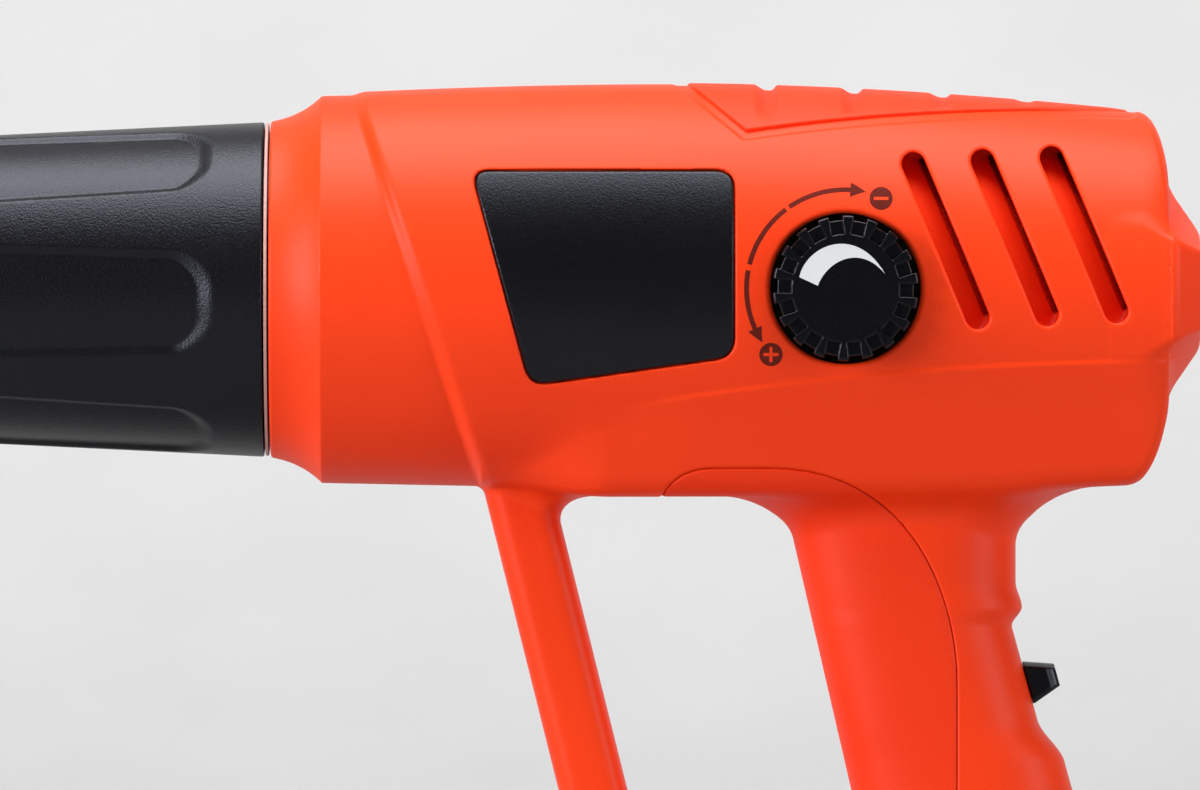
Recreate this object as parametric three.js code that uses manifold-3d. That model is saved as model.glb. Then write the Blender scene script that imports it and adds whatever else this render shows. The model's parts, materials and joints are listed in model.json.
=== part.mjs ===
// Handheld hot air tool: a two-part barrel with a loop handle, a black nose, a steel nozzle with its
// heater, a fan and motor, a temperature dial and a slide switch.
// Millimetres. In the barrel's frame x runs back from the housing's front face, y to the tool's
// right and z up, all from the barrel axis. A drop is a distance below that axis.

import * as THREE from 'three';
import { mergeVertices } from 'three/addons/utils/BufferGeometryUtils.js';
import Module from 'manifold-3d';

const wasm = await Module();
wasm.setup();

// Fits
const fit = 0.3; // clearance between seated pieces
const seam = 0.3; // gap between the two housing halves
const tipClearance = 1.2; // fan tip to shroud
const far = 120; // reach of a cutter that runs out of the part
const meshTolerance = 0.08; // faces this close to flat are merged

// Barrel of the housing
const bodyLength = 179; // front face to tail
const mouthRadius = 33.6; // at the nose joint
const flareLength = 10.2; // concave flare behind the joint
const collarRadius = 38.7;
const coverStep = 1.3; // the cover stands this far above the collar
const coverFront = 16.5; // where the cover starts on the top line
const coverLean = 0.325; // how far its front edge leans back for each millimetre down
const crownX = 80; // highest and widest section
const bodyTop = 41.7;
const bodyDrop = 41.4;
const bodyHalf = 41;
const tailTop = 35.6;
const tailDrop = 38.6;
const tailHalf = 39;
const tailFall = 1.75; // power of the fall from crown to tail
const tailRound = 6; // length of the tail's rounding
const tailInset = 19; // height of the tail's rounding
const tailSideShare = 0.45; // the flanks turn in less than the top
const squareness = 2.15; // power of the barrel's oval sections
const wall = 2.6;

// Mouth that holds the nose
const mouthLip = 3; // depth of the lip in front of the groove
const grooveWidth = 3;
const grooveDepth = 1.6; // groove behind the lip

// Keel: the flat-flanked lower part that carries the handle
const keelStart = 42;
const keelBlend = 26; // length over which it grows out of the barrel
const keelDrop = 42; // underside below the axis
const keelTailDrop = 39.6;
const keelHalf = 29; // half width at the underside's rounding
const keelRound = 5;
const keelTailRound = 9; // length of the rounding at the keel's rear corner
const keelTailInset = 23; // height of that rounding
const creaseFrontDrop = 24; // crease between barrel and keel
const creaseRearDrop = 14.5;
const keelWall = 4.2;

// Tail boss, an eight-sided frustum the tool stands on with its nozzle up
const bossDepth = 6.4; // behind the tail
const bossRoot = 12; // starts this far inside the tail
const bossTop = 20.3;
const bossDrop = 21;
const bossHalf = 37.8;
const bossFlat = 15; // half width of its top and bottom flats
const bossSide = 13.2; // half height of its side flats
const bossTaper = 9; // how much the rear face is smaller all round
const inletHeight = 3.4; // air inlets in the rear face
const inletLength = 40;
const inletPitch = 6;
const inletCount = 3;

// Handle
const gripDatum = 56; // drop at which the front edge is measured
const gripFrontToTail = 73.2;
const gripFront = bodyLength - gripFrontToTail;
const gripFrontLean = 0.2316;
const lipDrop = 63.2; // lip above the switch, where the back edge is measured
const gripRearToTail = 28.9;
const gripRear = bodyLength - gripRearToTail;
const neckInset = 1.2; // the neck above the lip lies this far in front of it
const neckRear = gripRear - neckInset;
const gripRearLean = 0.275;
const gripHalf = 18.5;
const gripPower = 2.8;
const frontFillet = 13.5;
const rearFillet = 17.4;
const sideSwell = 10; // sideways fillet into the keel
const sideSwellDrop = 18;
const scoopDepth = 3.1; // thumb scoop of the switch
const scoopLength = 31;
const scoopRampTop = 4.3;
const scoopRampEnd = 8;
const handleWall = 4.2;

// Strut and foot that close the loop
const axisHeight = 158; // barrel axis above the foot's underside
const footHeight = 16;
const footFront = 58;
const heelReach = 31.9; // heel behind the lip
const footRear = gripRear + heelReach;
const footHalf = 20;
const footCorner = 9;
const footBevel = 2;
const loopFillet = 10;
const heelFlare = 0.876; // share of that fillet at the heel
const strutDatum = 62; // drop at which the strut's front edge is measured
const strutFront = 48;
const strutLean = 0.25;
const strutDepth = 13.8;
const strutHalf = 11;
const strutPower = 4;
const strutFrontFillet = 5;
const strutRearFillet = 9;
const strutSwell = 9;
const strutSwellDrop = 14;

// Side plate, top pad and front grip, let into the housing
const inlayGap = 0.4; // round the edge of each inlay
const plateFront = 40;
const plateTop = 23.6;
const plateDropFront = 19.5;
const plateDropRear = 13.7;
const plateCorner = 4;
const plateThickness = 1.2;
const padFrontToTail = 96.4;
const padFront = bodyLength - padFrontToTail;
const padShoulder = 12.3; // length of the pad's slanted front edge
const padShoulderZ = 31.4;
const padRearToTail = 7.8;
const padRear = bodyLength - padRearToTail;
const padRearZ = 36.1;
const padBow = 1.8; // how far its side edge bows up
const padRise = 0.5; // above the housing
const padSeat = 1.4; // depth of its seat in the housing
const padGrooveCount = 4;
const padGroovePitch = 17.2;
const padGrooveSetback = 16.8;
const padGrooveFirst = padFront + padGrooveSetback;
const padGrooveWidth = 4;
const padGrooveDepth = 1.3;
const inlayReach = 28.1; // under the barrel, ahead of the grip
const inlayFront = gripFront - inlayReach;
const inlayTopDrop = 35.6;
const inlayDepth = 31.1; // across the handle's flank
const inlayRear = gripFront + inlayDepth;
const inlayEndDrop = 130;
const inlayNose = 11; // length of its rounded front end
const inlayTail = 16; // rounding at its lower end
const inlayThickness = 1.5;

// Vents, three louvred slots on each side
const ventCount = 3;
const ventPitch = 13.75;
const ventRise = 0.6; // each slot sits this much higher than the one before
const ventToTail = 44.7; // middle of the front slot
const ventX = bodyLength - ventToTail;
const ventZ = 9.5;
const ventLength = 37.7;
const ventWidth = 4.8;
const ventLean = 22.5; // degrees
const ventRake = 1.2; // sideways run of the slot for each millimetre of depth

// Temperature dial, its potentiometer and board
const dialToTail = 64.6;
const dialX = bodyLength - dialToTail;
const dialRadius = 14.4;
const dialGap = 1; // dial to its hole
const dialHole = dialRadius + dialGap;
const plateToDial = 6.4;
const plateRear = dialX - dialHole - plateToDial;
const dialProud = 4.5; // face above the housing's flank
const dialHeight = 7.5;
const dialHubRadius = 5.5;
const dialHubReach = 3;
const dialNotchCount = 18;
const dialNotchInner = 10.8;
const dialNotchWidth = 2.3;
const dialNotchDepth = 3;
const dialCapThickness = 3; // material over the blind shaft bore
const dialShaftRadius = 3;
const potRadius = 8;
const potDepth = 7;
const potBack = 1.5; // floor under the shaft
const potBushRadius = 4.6;
const potBushLength = 3;
const boardHalf = 16;
const boardThickness = 1.6;
const boardScrewInset = 2.9;
const boardScrewRadius = 1.25;
const boardScrewHead = 2.6;
const boardScrewHeadHeight = 1.6;
const boardScrewLength = 9;
const pillarRadius = 3;

// Nose
const noseLength = 75;
const noseRadius = 33.45; // at the joint
const noseFrontRadius = 30.1;
const noseEdge = 4; // rounding at the front
const noseWall = 2.4;
const noseSpigot = 7; // reach into the housing
const noseSpigotWall = 2.4;
const noseFlangeRise = 1.5;
const sealThickness = 0.7;
const sealWidth = 1.9;
const panelCount = 6;
const panelTurn = -5; // degrees
const panelRearX = -10.8; // rounded end of each panel
const panelHalf = 10.6; // half width at that end
const panelSpread = 0.028; // widening for each millimetre forward
const panelCorner = 7;
const panelDepth = 0.9;
const panelFrontX = -66;

// Nozzle and heater
const nozzleRadius = 17.5;
const nozzleWall = 0.8;
const nozzleReach = 37; // beyond the nose
const nozzleLip = 0.7; // rolled edge at the mouth
const nozzleLipLength = 2;
const heaterSeat = 13; // the nozzle's flange lies this far in front of the housing
const flangeRadius = 27;
const flangeThickness = 1.2;
const flangeScrewCount = 3;
const flangeScrewCircle = 22.5;
const flangeScrewRadius = 1.5;
const flangeScrewHead = 2.8;
const flangeScrewHeadHeight = 2;
const heaterPlateThickness = 2;
const sleeveThickness = 0.9;
const sleeveSetback = 9; // behind the nozzle mouth
const coreRadius = 12;
const coreRod = 5.5;
const coreFinCount = 6;
const coreFinThickness = 3;
const coreSetback = 13; // behind the nozzle mouth
const coreStub = 3.7;
const coilWire = 0.8; // radius
const coilTurnCount = 8;
const coilTurnSteps = 12;
const coilClearance = 0.5; // wire to the fins
const coilMargin = 8; // bare core at each end

// Duct, fan and motor
const ductWall = 2;
const ductFlange = 2.4;
const motorBay = 97; // room behind the fan
const ductRear = bodyLength - motorBay;
const ductClearance = 0.5; // flange to the housing's inner wall
const shroudLength = 20;
const statorVaneCount = 5;
const statorHub = 10;
const statorLength = 16;
const statorThickness = 1.8;
const fanRadius = 31;
const fanHub = 9;
const fanLength = 14;
const fanBladeCount = 7;
const fanBladeThickness = 1.5;
const fanPitch = 38; // degrees
const fanSetback = 2.5; // behind the fan to the duct's rear edge
const mountThickness = 3;
const mountRing = 4;
const mountSpokeCount = 4;
const mountSpokeWidth = 6;
const mountHub = 11;
const motorRadius = 18;
const motorLength = 44;
const motorWall = 1.6;
const motorEnd = 2;
const motorBoss = 5.6;
const motorBossLength = 2.6;
const magnetThickness = 4;
const magnetArc = 130; // degrees
const magnetFront = 8;
const brushRoom = 8; // behind the magnets
const magnetLength = motorLength - magnetFront - brushRoom;
const armatureGap = 0.6;
const armatureInset = 2; // inside the magnets at each end
const armatureLength = magnetLength - 2 * armatureInset;
const armatureSlotCount = 5;
const armatureSlotWidth = 2.4;
const armatureSlotDepth = 6;
const commutatorRadius = 4.5;
const commutatorLength = 6;
const brushWidth = 4;
const brushLength = 5;
const brushHolderWall = 1.4;
const capThickness = 4;
const shaftRadius = 1.5;
const bushWall = 1.8;
const bushLength = 4.6;
const rectifierRadius = 15;
const rectifierThickness = 1.6;
const armThickness = 3; // cradle arms behind the vents
const armWidth = 8;
const armAngle = 60; // degrees above and below the horizontal

// Slide switch, in its own frame on the scoop: x out of the handle, z up along it
const switchDrop = 78.6;
const switchTravel = 4.5; // each way
const tabBase = 8.6;
const tabTop = 4.5;
const tabHeight = 5.8;
const tabWidth = 11;
const stemWidth = 4.6;
const stemLength = 6.4;
const carriageThickness = 2;
const carriageWidth = 10;
const carriageLength = 26;
const switchHalf = 8;
const switchLength = 27;
const switchDepth = 13;
const leverSize = 3;
const leverReach = 4; // into the switch
const railLength = 3;

// Cord inlet in the heel
const glandRise = 9.6; // above the foot's underside
const glandDrop = axisHeight - glandRise;
const glandRadius = 5;
const glandBore = 3.6;
const glandFlange = 6.6;
const glandFlangeThickness = 2;
const heelWall = 8;
const heelPocketLength = 24;
const heelPocketHalf = 11;
const clampRise = 32; // above the foot's underside
const clampDrop = axisHeight - clampRise;
const clampLength = 25;
const clampHeight = 6;
const clampThickness = 4;
const clampCord = 3.5; // half of the cord's thickness between post and clamp
const clampScrewPitch = 17;
const clampScrewRadius = 1.5;
const clampScrewHead = 2.8;
const clampScrewHeadHeight = 2;
const clampScrewLength = 13;
const clampPost = 3.4;

// Housing screws, driven from the right side
const screwRadius = 1.75;
const screwHead = 3.5;
const screwHeadHeight = 2.8;
const screwSeat = 5; // head's seat beside the seam
const screwReach = 9; // into the left half
const screwTunnel = 4.2;
const screwSleeve = 6.2;
const screwBoss = 4.6;
const screwEdge = 0.1; // least cover outside a sleeve
const noseScrewSetback = 7.8; // behind the flare
const tailScrewSetback = 11;
const tailScrewDepth = 7; // below the top line
const keelScrewSetback = 13;
const keelScrewDepth = 13.6;
const strutScrewRise = 8; // above the strut's datum
const gripScrewDrop = 11; // below the keel
const gripScrewSetback = 10.1; // ahead of the lip
const heelScrewRise = 48; // above the foot's underside
const heelScrewSetback = 0.9; // behind the lip
const toeScrewSetback = 21;
const noseScrewX = flareLength + noseScrewSetback;
const noseScrewZ = collarRadius - screwSleeve - screwEdge;
const strutScrewX = strutFront + strutDepth / 2 - strutScrewRise * strutLean;
const screwPlaces = {
  nose_top: [noseScrewX, noseScrewZ],
  nose_bottom: [noseScrewX, -noseScrewZ],
  tail_top: [bodyLength - tailScrewSetback, tailTop - tailScrewDepth],
  tail_bottom: [bodyLength - keelScrewSetback, keelScrewDepth - tailDrop],
  strut: [strutScrewX, strutScrewRise - strutDatum],
  handle_upper: [gripRear - gripScrewSetback, -keelDrop - gripScrewDrop],
  handle_lower: [gripRear + heelScrewSetback, heelScrewRise - axisHeight],
  toe: [footFront + toeScrewSetback, footHeight / 2 - axisHeight],
};

// Sizes worked out from those above
const coverRadius = collarRadius + coverStep;
const loopDrop = axisHeight - footHeight;
const ductRadius = bodyHalf - wall - ductClearance;
const shroudInner = fanRadius + tipClearance;
const motorFront = ductRear + mountThickness + 2 * fit;
const motorInner = motorRadius - motorWall;
const magnetInner = motorInner - fit - magnetThickness;
const armatureRadius = magnetInner - armatureGap;
const bushRadius = shaftRadius + fit + bushWall;
const nozzleFront = -noseLength - nozzleReach;
const plateX = fit - heaterSeat + flangeThickness;
const ductFront = plateX + heaterPlateThickness + fit;
const noseShoulder = -sealThickness - 2 * fit;
const spigotRadius = mouthRadius - grooveDepth - fit - 0.6;
const nozzleInner = nozzleRadius - nozzleWall;
const sleeveRadius = nozzleInner - fit;

const materials = {
  orange: [0xef4a22, 0.42, 0],
  softOrange: [0xe8441f, 0.55, 0],
  black: [0x1b1b1e, 0.55, 0],
  dialBlack: [0x151517, 0.35, 0],
  plate: [0x202023, 0.6, 0],
  seal: [0xd9b8ac, 0.6, 0],
  steel: [0xa9a7a2, 0.35, 1],
  darkSteel: [0x6d6f73, 0.45, 1],
  brass: [0xb8933f, 0.35, 1],
  copper: [0xa8623a, 0.4, 1],
  mica: [0xc9b48c, 0.7, 0],
  ceramic: [0xe6e0d2, 0.8, 0],
  board: [0x2f6b3a, 0.5, 0],
  carbon: [0x2a2a2a, 0.8, 0],
  ferrite: [0x3a3836, 0.7, 0],
  fan: [0x2c2c30, 0.5, 0],
  rubber: [0x18181a, 0.85, 0],
};

// A three.js geometry as a closed solid with its faces out.
function solid(geometry) {
  const bare = geometry.clone();
  bare.deleteAttribute('normal');
  bare.deleteAttribute('uv');
  const merged = mergeVertices(bare, 1e-4);
  const triVerts = new Uint32Array(merged.index.array);
  const make = () => new wasm.Manifold(new wasm.Mesh({
    numProp: 3,
    vertProperties: merged.attributes.position.array,
    triVerts,
  }));
  const made = make();
  if (made.volume() > 0) return made;
  for (let i = 0; i < triVerts.length; i += 3) {
    [triVerts[i + 1], triVerts[i + 2]] = [triVerts[i + 2], triVerts[i + 1]];
  }
  return make();
}

function geometryOf(form) {
  const mesh = form.asOriginal().simplify(meshTolerance).getMesh();
  const geometry = new THREE.BufferGeometry();
  geometry.setAttribute('position', new THREE.BufferAttribute(new Float32Array(mesh.vertProperties), 3));
  geometry.setIndex(new THREE.BufferAttribute(new Uint32Array(mesh.triVerts), 1));
  geometry.computeVertexNormals();
  return geometry;
}

function join(...forms) {
  return forms.reduce((all, form) => all.add(form));
}

function cut(form, ...cutters) {
  return cutters.reduce((left, cutter) => left.subtract(cutter), form);
}

// Skin over closed rings of equally many points, with a fan over each end ring.
function loft(rings) {
  const count = rings[0].length;
  const points = rings.flat();
  const faces = [];
  for (let i = 0; i < rings.length - 1; i++) {
    for (let j = 0; j < count; j++) {
      const a = i * count + j;
      const b = i * count + (j + 1) % count;
      faces.push(a, b, b + count, a, b + count, a + count);
    }
  }
  const ends = [[0, 1], [rings.length - 1, -1]];
  for (const [ring, turn] of ends) {
    const hub = points.length;
    const middle = new THREE.Vector3();
    rings[ring].forEach((p) => middle.addScaledVector(p, 1 / count));
    points.push(middle);
    for (let j = 0; j < count; j++) {
      const a = ring * count + j;
      const b = ring * count + (j + 1) % count;
      faces.push(hub, turn > 0 ? b : a, turn > 0 ? a : b);
    }
  }
  const geometry = new THREE.BufferGeometry().setFromPoints(points);
  geometry.setIndex(faces);
  return solid(geometry);
}

// Unit oval of the given power, as [cosine-like, sine-like] pairs.
function oval(count, power) {
  const pairs = [];
  for (let i = 0; i < count; i++) {
    const angle = (i / count) * 2 * Math.PI;
    const c = Math.cos(angle);
    const s = Math.sin(angle);
    pairs.push([Math.sign(c) * Math.abs(c) ** (2 / power), Math.sign(s) * Math.abs(s) ** (2 / power)]);
  }
  return pairs;
}

// Revolve of [radius, x] points about the barrel axis.
function revolve(profile, segments = 36) {
  const points = profile.map(([radius, x]) => new THREE.Vector2(radius, x));
  return solid(new THREE.LatheGeometry(points, segments).rotateZ(-Math.PI / 2));
}

function ringProfile(inner, outer, from, to) {
  return [[inner, from], [outer, from], [outer, to], [inner, to], [inner, from]];
}

function tubeX(inner, outer, from, to, segments = 24) {
  return revolve(ringProfile(inner, outer, from, to), segments);
}

function rodX(radius, from, to, segments = 16) {
  const rod = new THREE.CylinderGeometry(radius, radius, to - from, segments);
  return solid(rod.rotateZ(Math.PI / 2).translate((from + to) / 2, 0, 0));
}

function rodY(radius, from, to, x = 0, z = 0, segments = 16) {
  const rod = new THREE.CylinderGeometry(radius, radius, to - from, segments);
  return solid(rod.translate(x, (from + to) / 2, z));
}

function block(x, y, z) {
  const box = new THREE.BoxGeometry(x[1] - x[0], y[1] - y[0], z[1] - z[0]);
  return solid(box.translate((x[0] + x[1]) / 2, (y[0] + y[1]) / 2, (z[0] + z[1]) / 2));
}

// Outline in the side view, as a prism across the tool.
function sidePrism(shape, yFrom, yTo, curveSegments = 4) {
  const prism = new THREE.ExtrudeGeometry(shape, { depth: yTo - yFrom, bevelEnabled: false, curveSegments });
  return solid(prism.rotateX(Math.PI / 2).translate(0, yTo, 0));
}

// Outline seen from behind (y, z), as a prism along the barrel.
function axialPrism(shape, from, to, curveSegments = 8) {
  const prism = new THREE.ExtrudeGeometry(shape, { depth: to - from, bevelEnabled: false, curveSegments });
  return solid(prism.rotateX(Math.PI / 2).rotateZ(Math.PI / 2).translate(from, 0, 0));
}

// Polygon with every corner rounded by the same radius.
function roundedShape(corners, radius) {
  const shape = new THREE.Shape();
  corners.forEach((corner, i) => {
    const before = corners[(i + corners.length - 1) % corners.length];
    const after = corners[(i + 1) % corners.length];
    const from = corner.clone().add(before.clone().sub(corner).setLength(radius));
    const to = corner.clone().add(after.clone().sub(corner).setLength(radius));
    if (i === 0) shape.moveTo(from.x, from.y);
    else shape.lineTo(from.x, from.y);
    shape.quadraticCurveTo(corner.x, corner.y, to.x, to.y);
  });
  shape.closePath();
  return shape;
}

function stadium(length, width) {
  const radius = width / 2;
  const straight = length / 2 - radius;
  const shape = new THREE.Shape();
  shape.absarc(straight, 0, radius, -Math.PI / 2, Math.PI / 2);
  shape.absarc(-straight, 0, radius, Math.PI / 2, 1.5 * Math.PI);
  shape.closePath();
  return shape;
}

function clamp01(value) {
  return Math.min(1, Math.max(0, value));
}

function smooth(value) {
  const t = clamp01(value);
  return t * t * (3 - 2 * t);
}

function mix(a, b, share) {
  return a + (b - a) * share;
}

// Sideways run of a fillet of this radius, at a depth into it.
function filletRun(depth, radius) {
  const t = Math.min(Math.max(depth, 0), radius);
  return radius - Math.sqrt(radius * radius - t * t);
}

// A size along the barrel, from the cover's front over the crown to the tail.
function swell(x, front, middle, tail) {
  if (x < crownX) {
    const u = clamp01((x - coverFront) / (crownX - coverFront));
    return middle - (middle - front) * (1 - u) ** 2;
  }
  const u = clamp01((x - crownX) / (bodyLength - crownX));
  return middle - (middle - tail) * u ** tailFall;
}

function tailInsetAt(x, run, deep) {
  const into = clamp01((x - bodyLength + run) / run);
  return deep * (1 - Math.sqrt(1 - into * into));
}

function barrelSection(x, inset) {
  const less = tailInsetAt(x + inset, tailRound, tailInset);
  return {
    top: swell(x, coverRadius, bodyTop, tailTop) - inset - less,
    drop: swell(x, coverRadius, bodyDrop, tailDrop) - inset - less,
    half: swell(x, coverRadius, bodyHalf, tailHalf) - inset - less * tailSideShare,
  };
}

// Half width of the barrel at a height.
function flankAt(x, z) {
  const { top, drop, half } = barrelSection(x, 0);
  const share = Math.min(1, z > 0 ? z / top : -z / drop);
  return half * (1 - share ** squareness) ** (1 / squareness);
}

function barrelStations(from, inset, steps, run = tailRound) {
  const tailStart = bodyLength - run - inset;
  const stations = [];
  for (let i = 0; i <= steps; i++) stations.push(mix(from, tailStart, i / steps));
  const roundSteps = 3;
  for (let i = 1; i <= roundSteps; i++) {
    stations.push(tailStart + run * Math.sin((i / roundSteps) * (Math.PI / 2)));
  }
  return stations;
}

// The barrel's outer form, or its offset: a positive inset lies inside it.
function barrelForm(inset, from, steps = 5, sides = 36) {
  const unit = oval(sides, squareness);
  return loft(barrelStations(from, inset, steps).map((x) => {
    const { top, drop, half } = barrelSection(x, inset);
    return unit.map(([c, s]) => new THREE.Vector3(x, half * c, s * (s > 0 ? top : drop)));
  }));
}

function flareCurve() {
  const start = new THREE.Vector2(mouthRadius, 0);
  const bend = new THREE.Vector2(mix(mouthRadius, collarRadius, 0.2), flareLength * 0.6);
  const end = new THREE.Vector2(collarRadius, flareLength);
  return new THREE.QuadraticBezierCurve(start, bend, end).getPoints(3).map((p) => [p.x, p.y]);
}

function coverEdgeX(z) {
  return coverFront + coverLean * (coverRadius - z);
}

function collarForm() {
  const end = coverEdgeX(-coverRadius) + wall;
  return revolve([[0, 0], ...flareCurve(), [collarRadius + wall / 4, end], [0, end]], 36);
}

function coverForm(inset) {
  const front = new THREE.Shape();
  front.moveTo(-far, far);
  front.lineTo(coverEdgeX(far), far);
  front.lineTo(coverEdgeX(-far), -far);
  front.lineTo(-far, -far);
  return barrelForm(inset, coverFront - wall).subtract(sidePrism(front, -far, far));
}

// The keel, or its offset, as a loft along the barrel.
function keelForm(inset) {
  const from = keelStart + inset;
  return loft(barrelStations(from, inset, 5, keelTailRound).map((x) => {
    const grown = smooth((x - keelStart) / keelBlend);
    const back = clamp01((x - keelStart - keelBlend) / (bodyLength - keelStart - keelBlend));
    const less = tailInsetAt(x + inset, keelTailRound, keelTailInset);
    const crease = mix(creaseRearDrop, creaseFrontDrop, (1 - back) ** 2);
    const creaseHalf = flankAt(x, -crease) - inset - 0.15;
    const full = mix(keelDrop, keelTailDrop, smooth(2 * back - 1));
    const drop = mix(barrelSection(x, 0).drop - coverStep, full, grown) - inset - less;
    const bare = flankAt(x, keelRound - drop) - coverStep;
    const half = mix(bare, keelHalf - less / 4, grown) - inset;
    const side = [[creaseHalf * 0.55, 12 - crease], [creaseHalf, -crease]];
    for (let i = 0; i <= 3; i++) {
      const angle = (i / 3) * (Math.PI / 2);
      side.push([half - keelRound * (1 - Math.cos(angle)), keelRound * (1 - Math.sin(angle)) - drop]);
    }
    const right = side.map(([y, z]) => new THREE.Vector3(x, y, z));
    const left = side.map(([y, z]) => new THREE.Vector3(x, -y, z)).reverse();
    return [...right, ...left];
  }));
}

// Front edge, back edge and half width of the handle at a drop.
function handleSection(drop, inset) {
  const line = gripFront + (drop - gripDatum) * gripFrontLean;
  const front = line - filletRun(keelDrop + frontFillet - drop, frontFillet)
    - filletRun(drop - loopDrop + loopFillet, loopFillet);
  const neck = keelTailDrop + rearFillet;
  const lip = mix(neckRear, gripRear, smooth((drop - neck) / (lipDrop - neck)));
  const back = lip + Math.max(drop - lipDrop, 0) * gripRearLean;
  const scoop = scoopDepth * smooth((drop - lipDrop) / scoopRampTop)
    * smooth((lipDrop + scoopLength - drop) / scoopRampEnd);
  const heel = filletRun(drop - loopDrop + loopFillet, loopFillet) * heelFlare;
  const rear = back + filletRun(neck - drop, rearFillet) - scoop + Math.min(heel, footRear - back);
  const into = clamp01((keelDrop + sideSwellDrop - drop) / sideSwellDrop);
  const half = gripHalf + sideSwell * (1 - Math.sqrt(1 - into * into));
  return { front: front + inset, rear: rear - inset, half: half - inset };
}

function handleDrops(from, to) {
  const drops = [from];
  for (const share of [0, 0.08, 0.25, 0.55]) drops.push(keelDrop + frontFillet * share);
  const scoopEnd = lipDrop + scoopLength;
  drops.push(keelTailDrop + rearFillet, lipDrop, lipDrop + scoopRampTop);
  drops.push(scoopEnd - scoopRampEnd, scoopEnd);
  const fillets = [0, 0.5, 0.85, 1].map((share) => loopDrop - loopFillet * (1 - share));
  drops.push(...fillets, to);
  return drops.filter((drop, i) => i === 0 || (drop > drops[0] && drop <= to));
}

function handleForm(inset, from, to, sides = 18) {
  const unit = oval(sides, gripPower);
  return loft(handleDrops(from, to).map((drop) => {
    const { front, rear, half } = handleSection(drop, inset);
    const middle = (front + rear) / 2;
    return unit.map(([c, s]) => new THREE.Vector3(middle + c * (rear - front) / 2, s * half, -drop));
  }));
}

function strutForm() {
  const unit = oval(16, strutPower);
  const top = keelDrop - strutRearFillet;
  const drops = [top];
  for (const share of [0, 0.15, 0.5, 1]) drops.push(keelDrop + strutRearFillet * share);
  drops.push(keelDrop + strutSwellDrop);
  for (const share of [0, 0.5, 0.8, 1]) drops.push(loopDrop - loopFillet * (1 - share));
  drops.push(axisHeight - footBevel);
  return loft(drops.map((drop) => {
    const line = strutFront + (drop - strutDatum) * strutLean;
    const foot = filletRun(drop - loopDrop + loopFillet, loopFillet);
    const front = line - filletRun(keelDrop + strutFrontFillet - drop, strutFrontFillet) - foot / 2;
    const rear = line + strutDepth + filletRun(keelDrop + strutRearFillet - drop, strutRearFillet) + foot;
    const into = clamp01((keelDrop + strutSwellDrop - drop) / strutSwellDrop);
    const half = strutHalf + strutSwell * (1 - Math.sqrt(1 - into * into)) + foot / 2;
    const middle = (front + rear) / 2;
    return unit.map(([c, s]) => new THREE.Vector3(middle + c * (rear - front) / 2, s * half, -drop));
  }));
}

function footForm() {
  const corners = [
    new THREE.Vector2(footFront, -footHalf),
    new THREE.Vector2(footRear, -footHalf),
    new THREE.Vector2(footRear, footHalf),
    new THREE.Vector2(footFront, footHalf),
  ];
  const foot = new THREE.ExtrudeGeometry(roundedShape(corners, footCorner), {
    depth: footHeight - 2 * footBevel,
    bevelSize: footBevel,
    bevelThickness: footBevel,
    bevelOffset: -footBevel,
    bevelSegments: 1,
    curveSegments: 4,
  });
  return solid(foot.translate(0, 0, footBevel - axisHeight));
}

function bossForm() {
  const stations = [[-bossRoot, 0], [0, 0], [bossDepth * 0.35, bossTaper * 0.25], [bossDepth, bossTaper]];
  return loft(stations.map(([back, less]) => {
    const middle = (bossTop - bossDrop) / 2;
    const corners = [
      [bossFlat - less / 2, bossTop - less],
      [bossHalf - less, middle + bossSide - less / 2],
      [bossHalf - less, middle - bossSide + less / 2],
      [bossFlat - less / 2, less - bossDrop],
    ];
    const right = corners.map(([y, z]) => new THREE.Vector3(bodyLength + back, y, z));
    const left = corners.map(([y, z]) => new THREE.Vector3(bodyLength + back, -y, z)).reverse();
    return [...right, ...left];
  }));
}

function plateOutline(gap) {
  const lean = coverLean * 0.84;
  const corners = [
    new THREE.Vector2(plateFront + gap, plateTop - gap),
    new THREE.Vector2(plateFront + gap + lean * (plateTop + plateDropFront), gap - plateDropFront),
    new THREE.Vector2(plateRear - gap, gap - plateDropRear),
    new THREE.Vector2(plateRear - gap, plateTop - gap),
  ];
  return roundedShape(corners, plateCorner);
}

function padOutline(gap) {
  const shape = new THREE.Shape();
  const lowX = padFront + padShoulder + gap;
  const lowZ = padShoulderZ + gap;
  const slope = (bodyTop - padShoulderZ) / padShoulder;
  shape.moveTo(lowX, lowZ);
  const bendX = mix(lowX, padRear, 0.46);
  shape.quadraticCurveTo(bendX, padRearZ + padBow / 2 + gap, padRear - gap, padRearZ + gap);
  shape.lineTo(padRear - gap, far);
  shape.lineTo(lowX - (far - lowZ) / slope, far);
  shape.closePath();
  return shape;
}

// The grip inlay's outline in the side view: under the barrel, then down the handle's flank.
function inlayOutline(gap) {
  const top = -inlayTopDrop - gap;
  const rear = inlayRear - gap;
  const front = inlayFront + gap;
  const end = gap - inlayEndDrop;
  const shape = new THREE.Shape();
  shape.moveTo(front, -keelDrop - frontFillet);
  shape.lineTo(front, -keelDrop);
  shape.quadraticCurveTo(front + inlayNose / 4, top, front + inlayNose, top);
  shape.lineTo(front + 2 * inlayNose, top);
  shape.bezierCurveTo(mix(front, rear, 0.85), top, rear, mix(top, -switchDrop, 0.6), rear, -switchDrop);
  shape.lineTo(rear, end + inlayTail);
  shape.quadraticCurveTo(rear, end, rear - inlayTail, end);
  shape.lineTo(mix(front, rear, 0.4), end);
  shape.closePath();
  return shape;
}

function handleUpperForm(inset) {
  const handle = handleForm(inset, keelDrop - rearFillet, loopDrop);
  return join(handle, keelForm(inset));
}

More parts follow.
